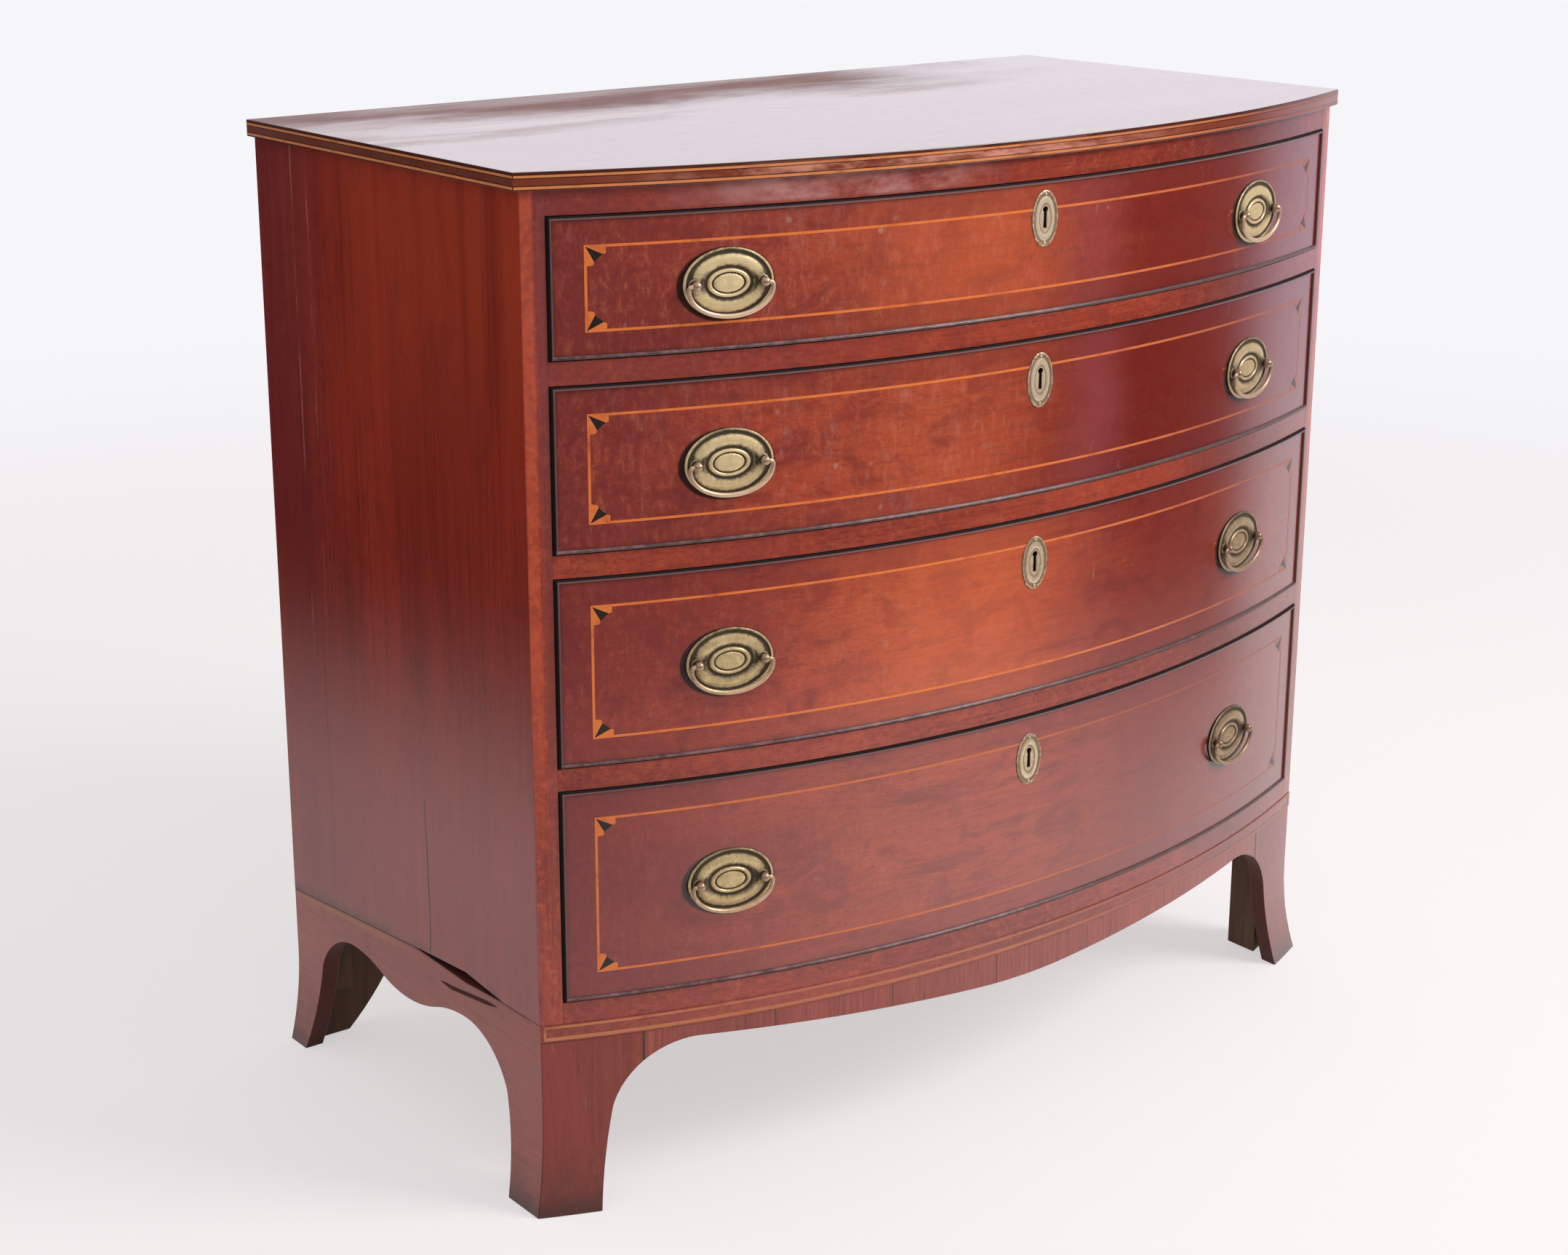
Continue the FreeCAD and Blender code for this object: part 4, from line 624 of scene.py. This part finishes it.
def veneer_leaf(columns, rows, hole):
    """A bowed leaf of veneer, open where the hole starts, and its four thin edges."""
    leaf, width = Shape(), len(columns)
    leaf.verts = [on_bow(across, up, LEAF_PROUD) for up in rows for across in columns]
    for row, low in enumerate(rows[:-1]):
        for column, left in enumerate(columns[:-1]):
            corner = row * width + column
            if (left, low) != hole:
                leaf.faces.append((corner, corner + 1, corner + width + 1, corner + width))
    for line in ([(across, rows[0]) for across in columns], [(columns[-1], up) for up in rows],
                 [(across, rows[-1]) for across in reversed(columns)],
                 [(columns[0], up) for up in reversed(rows)]):
        leaf.loft([[on_bow(across, up, -LEAF_PROUD), on_bow(across, up, LEAF_PROUD)]
                   for across, up in line], closed_round=False, caps=False)
    return leaf


for n in HEIGHTS:
    core = Finish(f"drawer_{n}_core")
    core.colour, fibre = bare_wood(core, "X", (0.36, 0.185, 0.080), (0.21, 0.095, 0.042))
    across, _, up = core.axes()
    eye = KEY_HEIGHTS[n] + KEY_EYE * MM
    # Painted shade: the front black behind the keyhole.
    keyhole_shade = (1 - abs(across).rise(4.5 * MM, 6 * MM)) * (up - eye).band(-20 * MM, 6 * MM, 1 * MM)
    core.lay(keyhole_shade, (0.006, 0.004, 0.003))
    dress(f"drawer_{n}_front", core.done(0.62 + fibre * 0.25, fibre, 0.5, 0.2 * MM), 0.3)
    columns = [-LEAF_HALF + 2 * LEAF_HALF * step / 120 for step in range(121)]
    columns[60:61] = [-3.3 * MM, 3.3 * MM]
    rows = [FLOORS[n] + LEAF_INSET, eye - 18 * MM, eye + 4 * MM, CEILINGS[n] - LEAF_INSET]
    piece(f"drawer_{n}_veneer", veneer_leaf(columns, rows, (columns[60], rows[1])), front_finish(n),
          f"drawer_{n}", 0.3)

# -------------------- stringing and corner fans
# A light string runs round each front in a groove. Small fans are let in at its corners, each two
# slips of the same light wood with a dart of black dyed wood between them, pointing outwards.
FAN_LIGHT = [((0, 0), (16.8, 0), (16.8, 6.2), (14.2, 7.2)), ((0, 0), (7.0, 13.4), (6.2, 16.4), (0, 17.2))]
FAN_DARK = [((0, 0), (14.2, 7.2), (10.8, 10.0), (7.0, 13.4))]
INLAY_PROUD = LEAF_PROUD + 0.08 * MM
HALF_WIDTH, BEHIND_KEYHOLE = STRING_WIDTH / 2, 9 * MM


def let_in(shape, corners, proud):
    """A small flat slip of any outline, let into the bowed front."""
    turn = sum(a[0] * b[1] - b[0] * a[1] for a, b in zip(corners, corners[1:] + corners[:1]))
    if turn < 0:
        corners = corners[::-1]
    points = [on_bow(across, up, out) for out in (proud, proud - STRING_DEEP) for across, up in corners]
    count = len(corners)
    sides = [(step, count + step, count + (step + 1) % count, (step + 1) % count) for step in range(count)]
    shape.add(points, [tuple(range(count)), tuple(reversed(range(count, 2 * count))), *sides])


string_finish = string_wood("drawer_string_wood")
dart = Finish("dyed_black_wood", Coat_Weight=0.5, Coat_Roughness=0.2)
dart_grain = dart.noise((1, 1, 0.1), 500, 3, 0.6)
dart.colour = dart.blend(dart_grain, (0.012, 0.010, 0.009), (0.035, 0.026, 0.020))
dart_finish = dart.done(0.4, dart_grain, 0.3, 0.1 * MM)
for n in HEIGHTS:
    low, high, end = STRING_LOW[n], STRING_HIGH[n], STRING_END + HALF_WIDTH
    strings, darts = Shape(), Shape()
    for start, stop, line in ((-end, end, low), (-end, -BEHIND_KEYHOLE, high), (BEHIND_KEYHOLE, end, high)):
        bowed_slip(strings, start, stop, line - HALF_WIDTH, line + HALF_WIDTH, INLAY_PROUD)
    for side in (-1, 1):
        start = side * STRING_END - HALF_WIDTH
        bowed_slip(strings, start, start + STRING_WIDTH, low + HALF_WIDTH, high - HALF_WIDTH, INLAY_PROUD, 2)
        for line, rise in ((low, 1), (high, -1)):
            for shape, slips, proud in ((strings, FAN_LIGHT, 0.02 * MM), (darts, FAN_DARK, 0.04 * MM)):
                for slip in slips:
                    let_in(shape, [(side * (STRING_END - across * MM), line + rise * up * MM)
                                   for across, up in slip], INLAY_PROUD + proud)
    piece(f"drawer_{n}_stringing", strings, string_finish, f"drawer_{n}")
    piece(f"drawer_{n}_fan_darts", darts, dart_finish, f"drawer_{n}")

# -------------------- cock beads
# A thin bead of dark mahogany is glued into a rabbet round each front and mitred at the corners.
# Its nose is rounded over and stands a little proud, which takes the knocks and saves the veneer.
BEAD_NOSE = [(0, -9.5), (0, 0.7), (0.25, 1.5), (0.85, 2.2), (1.7, 2.4), (2.55, 2.2), (3.15, 1.5), (3.4, 0.7),
             (3.4, -9.5)]                         # inwards from the edge, and out from the bow
BEAD_STEPS, BEAD_GAP = 48, 1 * MM
BEAD_INNER, BEAD_JOINT = 475.5 * MM, 477.8 * MM

bead = Finish("cock_bead", Coat_Roughness=0.2, Coat_IOR=1.5)
bead_grain = bead.noise((0.03, 1, 1), 500, 3, 0.6)
bead_wear = bead.noise(EVEN, 60, 4, 0.7, 0.4)
bead.colour = bead.blend(bead_grain, (0.052, 0.026, 0.022), (0.110, 0.052, 0.044))
bead.lay(bead_wear.rise(0.52, 0.75) * 0.6, (0.24, 0.100, 0.090))
across, _, up = bead.axes()
in_sight = proud_of_bow(bead).rise(-2 * MM, -0.5 * MM)
# Painted shade: the bead black where it borders the gaps at its ends and along its top, so the gaps look
# wider.
gap_shade = abs(across).rise(BEAD_JOINT, BEAD_JOINT + 0.8 * MM) * in_sight
bead.lay(abs(across).rise(BEAD_INNER, BEAD_INNER + 0.7 * MM) * 0.6, (0.20, 0.085, 0.075))
for n in HEIGHTS:
    ceiling = CEILINGS[n]
    bead.lay(up.band(ceiling - 4.6 * MM, ceiling, 0.3 * MM) * 0.8, (0.24, 0.090, 0.088))
    gap_shade = gap_shade.at_least(up.band(ceiling - 2.3 * MM, ceiling, 0.4 * MM) * in_sight)
    # Painted highlight: a lilac sheen along the bottom bead, mostly on the left, broken by the wear.
    lower_highlight = up.band(FLOORS[n] + 2.0 * MM, FLOORS[n] + 4.6 * MM, 0.4 * MM)
    lower_highlight = lower_highlight * (1 - across.rise(-0.05, 0.12) * 0.9)
    bead.lay(lower_highlight * bead_wear.rise(0.35, 0.65) * 0.6, (0.34, 0.165, 0.180))
bead.lay(gap_shade * 0.98, (0.004, 0.003, 0.003))
bead_finish = bead.done(0.35 + bead_wear * 0.2 + gap_shade * 0.5, bead_grain + bead_wear, 0.3, 0.1 * MM,
                        Coat_Weight=0.6 - gap_shade * 0.6)
for n in HEIGHTS:
    shape, rings = Shape(), []
    for inward, proud in BEAD_NOSE:
        end, low, high = DRAWER_HALF - inward * MM, FLOORS[n] + BEAD_GAP, CEILINGS[n] - BEAD_GAP
        rings.append([on_bow(2 * way * end * step / BEAD_STEPS - way * end, up, proud * MM)
                      for way, up in ((1, low + inward * MM), (-1, high - inward * MM))
                      for step in range(BEAD_STEPS + 1)])
    shape.loft(rings, caps=False, joined=True)
    made = piece(f"drawer_{n}_bead", shape, bead_finish, f"drawer_{n}", 0.9)
    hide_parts(f"drawer_{n}_cockbead")

# -------------------- drawer boxes
# The sides, backs and bottoms are thin poplar, dovetailed and never polished. They have gone a dry
# brown, with darker soil in patches.
side_poplar = poplar("drawer_side_poplar", "Y", (0.50, 0.335, 0.185), (0.33, 0.20, 0.105))
across_poplar = poplar("drawer_back_poplar", "X", (0.48, 0.32, 0.18), (0.31, 0.19, 0.10))
for n in HEIGHTS:
    dress(f"drawer_{n}_sides", side_poplar, 0.4)
    dress(f"drawer_{n}_back", across_poplar, 0.4)
    dress(f"drawer_{n}_bottom", across_poplar, 0.3)

# -------------------- locks
# Half mortise locks of iron, let flush into the back of each front and held by small screws. The
# bolt rises through the top edge of the front into a mortise in the rail.
iron = Finish("lock_iron", Metallic=1)
scale = iron.noise(EVEN, 240, 5, 0.7)
file_marks = iron.noise((1, 1, 0.04), 900, 2, 0.6)
iron.colour = iron.blend(file_marks, (0.10, 0.092, 0.085), (0.23, 0.215, 0.20))
iron.lay(scale.rise(0.50, 0.72), (0.15, 0.060, 0.030))
# Painted shade: the lock black behind the keyhole.
lock_keyhole_shade = abs(iron.axes()[0]).rise(0.004, 0.006)
iron.colour = iron.blend(lock_keyhole_shade, (0.008, 0.006, 0.005), iron.colour)
lock_finish = iron.done(0.40 + scale * 0.35, scale + file_marks * 0.5, 0.4, 0.2 * MM)
for n in HEIGHTS:
    dress(f"drawer_{n}_lock", lock_finish, 0.4)
    dress(f"drawer_{n}_lock_bolt", lock_finish, 0.4)

# -------------------- handle plates
# Oval plates stamped from thin sheet brass: a raised edge, a broad rounded band, a narrow ring and a
# ribbed boss in the middle. The lacquer has gone, and dirt and tarnish stay in the grooves. Painted
# shade darkens the band beside the posts and the top of the raised edge.
PLATE_RINGS = [  # half width, half height, height over the drawer front, dirt
    (41.6, 30.6, 0.05, 0.8), (42.0, 31.0, 0.5, 0.3), (41.6, 30.6, 1.2, 0.0), (40.8, 29.8, 1.55, 0.0),
    (39.9, 28.9, 1.45, 0.15), (39.2, 28.2, 0.95, 0.6), (38.4, 27.4, 0.6, 1.0), (37.2, 26.2, 0.65, 0.9),
    (35.8, 25.0, 1.15, 0.45), (33.8, 23.3, 1.85, 0.12), (31.2, 21.2, 2.4, 0.0), (28.4, 19.0, 2.6, 0.0),
    (25.8, 17.0, 2.3, 0.30), (23.6, 15.4, 1.6, 0.60), (22.0, 14.2, 0.85, 0.9), (20.8, 13.3, 0.6, 1.0),
    (20.0, 12.7, 0.85, 0.7), (19.2, 12.1, 1.9, 0.1), (18.2, 11.3, 2.55, 0.0), (17.0, 10.3, 2.5, 0.0),
    (16.1, 9.6, 1.6, 0.4), (15.4, 9.1, 0.95, 1.0), (14.6, 8.5, 0.95, 0.9), (13.8, 7.9, 1.5, 0.3),
    (11.5, 6.5, 1.95, 0.1), (8.4, 4.7, 2.2, 0.05), (4.6, 2.6, 2.35, 0.0), (1.2, 0.7, 2.4, 0.0)]
PLATE_ROUND, RIBS = 96, 24
BOSS, POST_BAND, RAISED_EDGE = (3, 14), (24, 39.5), 39          # half widths where each one lies


def worn_brass(name, pale=(1.0, 0.79, 0.43), dark=(0.070, 0.047, 0.026), clean_from=0.82, browning=0.85,
               metal=0.28):
    """Brass, darkened where the piece's own values say: by dirt, and on handle plates by painted shade."""
    brass = Finish(name, Metallic=metal)
    dirt = brass.node("Attribute", {"attribute_name": "dirt"}, output=2)
    blotch = brass.noise(EVEN, 130, 4, 0.7, 0.4)
    fine = brass.noise(EVEN, 900, 3, 0.6)
    brass.colour = brass.blend(blotch.rise(0.45, 0.75) * 0.5, pale, (0.70, 0.52, 0.28))
    brass.lay(fine.rise(0.5, 0.75) * 0.3, (0.42, 0.31, 0.18))
    across, _, up = brass.axes()
    browned = (1 - up.rise(0.50, clean_from)) * (0.35 + blotch.rise(0.35, 0.6) * 0.35) * browning
    brass.lay(browned, (0.46, 0.300, 0.125))
    # Darker and browner on the right of the chest, less so high up.
    right_darkening = across.rise(0.10, 0.30) * (1 - up.rise(0.40, 0.90) * 0.6)
    brass.lay(right_darkening * 0.75, (0.28, 0.165, 0.105))
    # Dirt, and on the handle plates painted shade, laid on dark.
    foul_and_shaded = (dirt + blotch * 0.5).rise(0.35, 1.05)
    brass.lay(foul_and_shaded, dark)
    return brass.done(0.22 + blotch * 0.16 + foul_and_shaded * 0.35, fine * 0.5 + blotch, 0.25, 0.2 * MM)


def facing(across, up):
    """A frame of right, up and out at a place of the bowed front."""
    swing = math.asin(across / BOW_RADIUS)
    along, out = (math.cos(swing), math.sin(swing), 0), (math.sin(swing), -math.cos(swing), 0)
    turned = Matrix((along, (0, 0, 1), out)).transposed().to_4x4()
    return Matrix.Translation(on_bow(across, up, 0)) @ turned


def handles():
    """Both handles of each drawer, each with its frame."""
    for n in HEIGHTS:
        for side_name, side in (("left", -1), ("right", 1)):
            yield n, side_name, side, facing(side * HANDLE_X, HANDLE_HEIGHTS[n])


stamped_brass = worn_brass("stamped_brass")
for n, side_name, side, where in handles():
    dents = random.Random(n * 10 + side)
    plate, dirt, rings = Shape(), [], []
    for half_width, half_height, rise, darkening in PLATE_RINGS:
        ring = []
        for step in range(PLATE_ROUND):
            turn = 2 * math.pi * step / PLATE_ROUND
            ripple = 0.11 * math.cos(RIBS * turn) if BOSS[0] < half_width < BOSS[1] else 0
            ripple += dents.uniform(-0.03, 0.03)
            place = half_width * math.cos(turn), half_height * math.sin(turn), rise + ripple
            ring.append(where @ Vector([size * MM for size in place]))
            # Painted shade: the broad band darker beside the posts, and the raised edge darker along its
            # top.
            near_post = POST_BAND[0] < half_width < POST_BAND[1]
            post_shade = math.exp(-(math.sin(turn) / 0.42) ** 2) if near_post else 0
            rim_shade = 0.50 * max(0, math.sin(turn)) if half_width > RAISED_EDGE else 0
            dirt.append(darkening + 0.62 * post_shade + rim_shade + dents.uniform(-0.08, 0.08))
        rings.append(ring)
    plate.loft(rings)
    made = piece(f"drawer_{n}_plate_{side_name}", plate, stamped_brass, f"drawer_{n}", 1.2, dirt)
    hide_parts(f"drawer_{n}_brasses")

# -------------------- handle posts
# Each plate is held by two cast brass posts with round heads, bored for the bail. Their shanks pass
# through the drawer front and take small square nuts on the inside.
POST_PLACE, PIN_HEIGHT = 31.75 * MM, 7.4
POST_PROFILE = [  # radius, height over the drawer front, dirt
    (5.4, 0.4, 0.8), (5.7, 1.1, 0.5), (5.3, 2.0, 0.2), (4.2, 2.5, 0.7), (3.0, 2.9, 1.0), (2.7, 3.4, 1.0),
    (3.2, 4.2, 0.5), (4.0, 5.4, 0.2), (4.2, 7.0, 0.1), (4.1, 8.4, 0.1), (3.5, 9.9, 0.0), (2.4, 10.9, 0.0),
    (1.0, 11.4, 0.0), (0.15, 11.5, 0.0)]
SHANK_PROFILE = [(1.6, -27.2, 0.6), (2.1, -26.7, 0.6), (2.1, 0.5, 0.6)]
NUT_PROFILE = [(5.52, -25.7, 0.5), (5.98, -25.2, 0.5), (5.98, -22.7, 0.5)]


def turned_piece(shape, dirt, where, centre, profile, count):
    """Turn a profile of radius, height and dirt about the outward axis of a handle."""
    turns = [2 * math.pi * step / count for step in range(count)]
    shape.loft([[where @ Vector((centre[0] + radius * math.cos(turn) * MM,
                                 centre[1] + radius * math.sin(turn) * MM, rise * MM)) for turn in turns]
                for radius, rise, _ in profile])
    dirt += [darkening for _, _, darkening in profile for _ in turns]


post_brass = worn_brass("cast_brass", (0.66, 0.47, 0.33), (0.045, 0.032, 0.020), metal=0.6)
for n, side_name, _, where in handles():
    posts, dirt = Shape(), []
    for place in (-POST_PLACE, POST_PLACE):
        for profile, count in ((POST_PROFILE, 20), (SHANK_PROFILE, 10), (NUT_PROFILE, 4)):
            turned_piece(posts, dirt, where, (place, 0), profile, count)
    piece(f"drawer_{n}_posts_{side_name}", posts, post_brass, f"drawer_{n}", 0.7, dirt)

# -------------------- bails
# The bails are cast brass rods bent to half an oval, thicker in the middle. Their ends turn in and
# are sprung into the heads of the posts, so that they hang against the lower edge of the plates.
BAIL_HALF, BAIL_DROP, BAIL_SHOULDER = 39.2, 28.0, 2.2
ROD_HALF, ROD_SWELL = 1.95, 0.25
BAIL_END = [  # across, up and the rod's half thickness
    (-29.5, 0.0, 1.5), (-33.0, 0.0, 1.6), (-36.2, -0.1, 1.75), (-38.2, -0.9, 1.95), (-39.1, -2.6, 2.0)]
BAIL_POINTS, ROD_ROUND = 36, 12

bail_brass = worn_brass("bail_brass", (1.0, 0.72, 0.50), (0.10, 0.060, 0.040), metal=0.38)
bail_line = list(BAIL_END)
for step in range(BAIL_POINTS + 1):
    turn = math.pi * (0.05 + 0.90 * step / BAIL_POINTS)
    drop = BAIL_SHOULDER + (BAIL_DROP - BAIL_SHOULDER) * math.sin(turn) ** 0.92
    bail_line.append((-BAIL_HALF * math.cos(turn), -drop, ROD_HALF + ROD_SWELL * math.sin(turn) ** 2))
bail_line += [(-across, up, thick) for across, up, thick in reversed(BAIL_END)]
for n, side_name, _, where in handles():
    rod, dirt, rings = Shape(), [], []
    for (across, up, thick), before, after in zip(bail_line, bail_line[:1] + bail_line,
                                                  bail_line[1:] + bail_line[-1:]):
        way = Vector((after[0] - before[0], after[1] - before[1], 0)).normalized()
        over = Vector((-way.y, way.x, 0))
        ring = []
        for step in range(ROD_ROUND):
            turn = 2 * math.pi * step / ROD_ROUND
            offset = over * (thick * math.cos(turn)) + Vector((0, 0, thick * math.sin(turn)))
            ring.append(where @ ((Vector((across, up, PIN_HEIGHT)) + offset) * MM))
            dirt.append(0.02 + 0.5 * max(0, -math.sin(turn)) + (0.3 if abs(across) > 37 else 0))
        rings.append(ring)
    rod.loft(rings)
    made = piece(f"drawer_{n}_bail_{side_name}_rod", rod, bail_brass, f"drawer_{n}_bail_{side_name}",
                 1.2, dirt)
    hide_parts(f"drawer_{n}_bail_{side_name}")

# -------------------- escutcheons
# An oval of thin brass with a beaded ring covers the rim of each keyhole. It is pinned at its top
# and bottom through to the drawer front.
COVER_RINGS = [  # half width, half height, height over the drawer front, dirt
    (15.7, 25.7, 0.05, 0.8), (16.0, 26.0, 0.5, 0.3), (15.6, 25.6, 1.0, 0.0), (14.8, 24.6, 1.25, 0.0),
    (13.8, 23.4, 0.95, 0.4), (12.9, 22.2, 0.6, 0.9), (11.9, 20.8, 0.65, 0.6), (11.0, 19.4, 1.1, 0.1),
    (9.6, 17.2, 1.35, 0.0), (8.3, 15.2, 1.1, 0.2), (7.2, 13.6, 0.75, 0.7), (5.8, 11.4, 0.85, 0.3)]
KEYHOLE_RINGS = ((0.7, 0.85, 0.3), (0.3, 0.8, 0.8), (0.1, -0.3, 1.0))         # wider, height, dirt
PIN_PROFILE = [(1.5, 0.6, 0.3), (1.4, 1.2, 0.3), (0.9, 1.7, 0.3), (0.1, 1.85, 0.3)]
COVER_PIN, BEADED, BEADS = 22.4 * MM, (9, 12), 40
KEY_RADIUS, SLOT_HALF, FOOT_HALF, SLOT_FOOT = 2.7, 1.5, 1.8, -8.3
NECK_STEPS, LEG_STEPS, FOOT_STEPS, NECK_TURN, FOOT_TURN = 14, 16, 5, 28, -74


def keyhole_outline(wider):
    """The outline of a keyhole all the way round from its top, each point with the turn at which
    the rings of the escutcheon meet it."""
    neck = math.asin(SLOT_HALF / KEY_RADIUS)
    half = []
    for step in range(NECK_STEPS + 1):
        turn = math.pi / 2 - (math.pi - neck) * step / NECK_STEPS
        half.append(((KEY_RADIUS + wider) * math.cos(turn), KEY_EYE + (KEY_RADIUS + wider) * math.sin(turn),
                     90 - (90 - NECK_TURN) * step / NECK_STEPS))
    low_neck = half[-1][1]
    for share in (step / LEG_STEPS for step in range(1, LEG_STEPS + 1)):
        half.append((SLOT_HALF + (FOOT_HALF - SLOT_HALF) * share ** 3 + wider,
                     low_neck + (SLOT_FOOT - wider - low_neck) * share,
                     NECK_TURN - (NECK_TURN - FOOT_TURN) * share))
    for share in (step / FOOT_STEPS for step in range(1, FOOT_STEPS + 1)):
        half.append(((FOOT_HALF + wider) * (1 - share), SLOT_FOOT - wider,
                     FOOT_TURN - (90 + FOOT_TURN) * share))
    return half + [(-across, up, 180 - turn) for across, up, turn in half[-2:0:-1]]


cover_brass = worn_brass("escutcheon_brass", (1.0, 0.81, 0.59), (0.30, 0.200, 0.120), 0.90, 0.7, 0.42)
turns = [math.radians(turn) for _, _, turn in keyhole_outline(0)]
for n in HEIGHTS:
    cover, dirt, rings = Shape(), [], []
    where, specks = facing(0, KEY_HEIGHTS[n]), random.Random(n)
    for half_width, half_height, rise, darkening in COVER_RINGS:
        beading = 0.12 if BEADED[0] < half_width < BEADED[1] else 0
        rings.append([where @ (Vector((half_width * math.cos(turn), half_height * math.sin(turn),
                                       rise + beading * math.cos(BEADS * turn))) * MM) for turn in turns])
        dirt += [darkening + (specks.uniform(0, 0.9) if half_width > BEADED[1] else 0) for _ in turns]
    for wider, rise, darkening in KEYHOLE_RINGS:
        rings.append([where @ (Vector((across, up, rise)) * MM) for across, up, _ in keyhole_outline(wider)])
        dirt += [darkening] * len(turns)
    cover.loft(rings, caps=False)
    for up in (-COVER_PIN, COVER_PIN):
        turned_piece(cover, dirt, where, (0, up), PIN_PROFILE, 10)
    piece(f"drawer_{n}_escutcheon", cover, cover_brass, f"drawer_{n}", 1.0, dirt)

# -------------------- floor, light and camera
# A pale paper floor that runs up into a white background and a large soft lamp high on the right,
# as in a plain studio. A wide white panel further round is only a painted reflection, in the floor
# and the world as glossy surfaces see them.
BACKGROUND, BLACK = (0.925, 0.918, 0.945), (0, 0, 0)

floor_mesh = bpy.data.meshes.new("paper_floor")
floor_mesh.from_pydata([(-9, -9, 0), (9, -9, 0), (9, 12, 0), (-9, 12, 0)], [], [(0, 1, 2, 3)])
floor = placed("paper_floor", floor_mesh)
paper = Finish("floor_paper", Roughness=0.9, Specular_IOR_Level=0)
floor_mesh.materials.append(paper.material)
across, back, _ = paper.axes()
away = (across ** 2 + back ** 2) ** 0.5
camera_ray = paper.node("LightPath", output="Is Camera Ray")
glossy_ray = paper.node("LightPath", output="Is Glossy Ray")
paper.colour = paper.blend(paper.noise(EVEN, 3, 4, 0.6) * 0.25, (0.82, 0.795, 0.79), (0.77, 0.75, 0.745))
paper.lay(paper.noise(EVEN, 42, 3, 0.6, 0.4).rise(0.70, 0.76) * 0.35, (0.55, 0.52, 0.51))
# Painted shade: the floor a little darker towards the lamp, to even out its light.
to_lamp = (across - back * 0.5).rise(0.3, 1.6)
paper.lay(camera_ray * (0.42 + to_lamp * 0.05), BLACK)
paper.set(Base_Color=paper.colour, Emission_Strength=1,
          Emission_Color=paper.blend(camera_ray, BLACK, (0.555, 0.542, 0.548)))
# Painted reflection: what glossy surfaces see in the floor. Near the chest it is grey to the left and white
# to the right, further out dark, and far to the right a bright panel.
sideways = (back + 0.25) / (across - 0.3).at_least(0.05)
lit_right = sideways.rise(-0.32, -0.07) * across.rise(0.45, 0.8)
lit_near = 1 - away.rise(0.9, 2.3)
far_right = paper.blend(away.rise(1.6, 5.5), (0.98, 0.98, 1.0), (0.84, 0.83, 1.0))
near_left = paper.blend(across.rise(-0.75, 0.35), (0.46, 0.45, 0.46), (1.0, 0.97, 0.98))
mirrored = paper.blend(lit_near, (0.010, 0.008, 0.008), near_left)
paper.glow_over(camera_ray * away.rise(1.5, 4.2), BACKGROUND)
paper.glow_over(glossy_ray, paper.blend(lit_right, mirrored, far_right))

world = bpy.data.worlds.new("studio")
bpy.context.scene.world = world
studio = Finish("studio", world, "Background")
camera_ray = studio.node("LightPath", output="Is Camera Ray")
glossy_ray = studio.node("LightPath", output="Is Glossy Ray")
to_right, to_back, to_sky = studio.axes("Generated")
# Painted reflection: glossy rays see the world dark low down, grey overhead and bright to the back right,
# like a wide panel; other rays see an even grey.
around = studio.blend(to_sky.rise(0.15, 0.55), (0.02, 0.02, 0.02), (0.60, 0.59, 0.60))
around = studio.blend((to_right * 0.62 + to_back * 0.78).rise(0.45, 0.80), around, (0.95, 0.90, 0.96))
around = studio.blend(glossy_ray, (0.53, 0.515, 0.52), around)
studio.set(Color=studio.blend(camera_ray, around, BACKGROUND))

key_place = Vector((2.2, -2.7, 3.0))
key_light = bpy.data.lights.new("key_lamp", "AREA")
key_light.shape, key_light.size, key_light.size_y = "RECTANGLE", 1.8, 1.8
key_light.energy, key_light.color = 108, (1.0, 0.98, 0.96)
key_lamp = placed("key_lamp", key_light)
key_lamp.location = key_place
key_lamp.rotation_euler = (Vector((0, 0, 0.55)) - key_place).to_track_quat("-Z", "Y").to_euler()
key_lamp.visible_camera = False

YAW, PITCH, ROLL = -0.640094, -0.297113, -0.0041098
view_way = Vector((-math.sin(YAW) * math.cos(PITCH), math.cos(YAW) * math.cos(PITCH), math.sin(PITCH)))
level = view_way.cross(Vector((0, 0, 1))).normalized()
upright = level.cross(view_way)
right = level * math.cos(ROLL) + upright * math.sin(ROLL)
up = upright * math.cos(ROLL) - level * math.sin(ROLL)
camera_data = bpy.data.cameras.new("camera")
camera = placed("camera", camera_data)
camera.matrix_world = Matrix.Translation((-1.72348, -2.10896, 1.27760)) @ Matrix(
    (right, up, -view_way)).transposed().to_4x4()
camera_data.sensor_width, camera_data.lens = 36.0, 62.74
camera_data.shift_x, camera_data.shift_y = 0.0374, -0.00728
camera_data.clip_end = 60.0
bpy.context.scene.camera = camera
bpy.context.scene.view_settings.view_transform = "Standard"
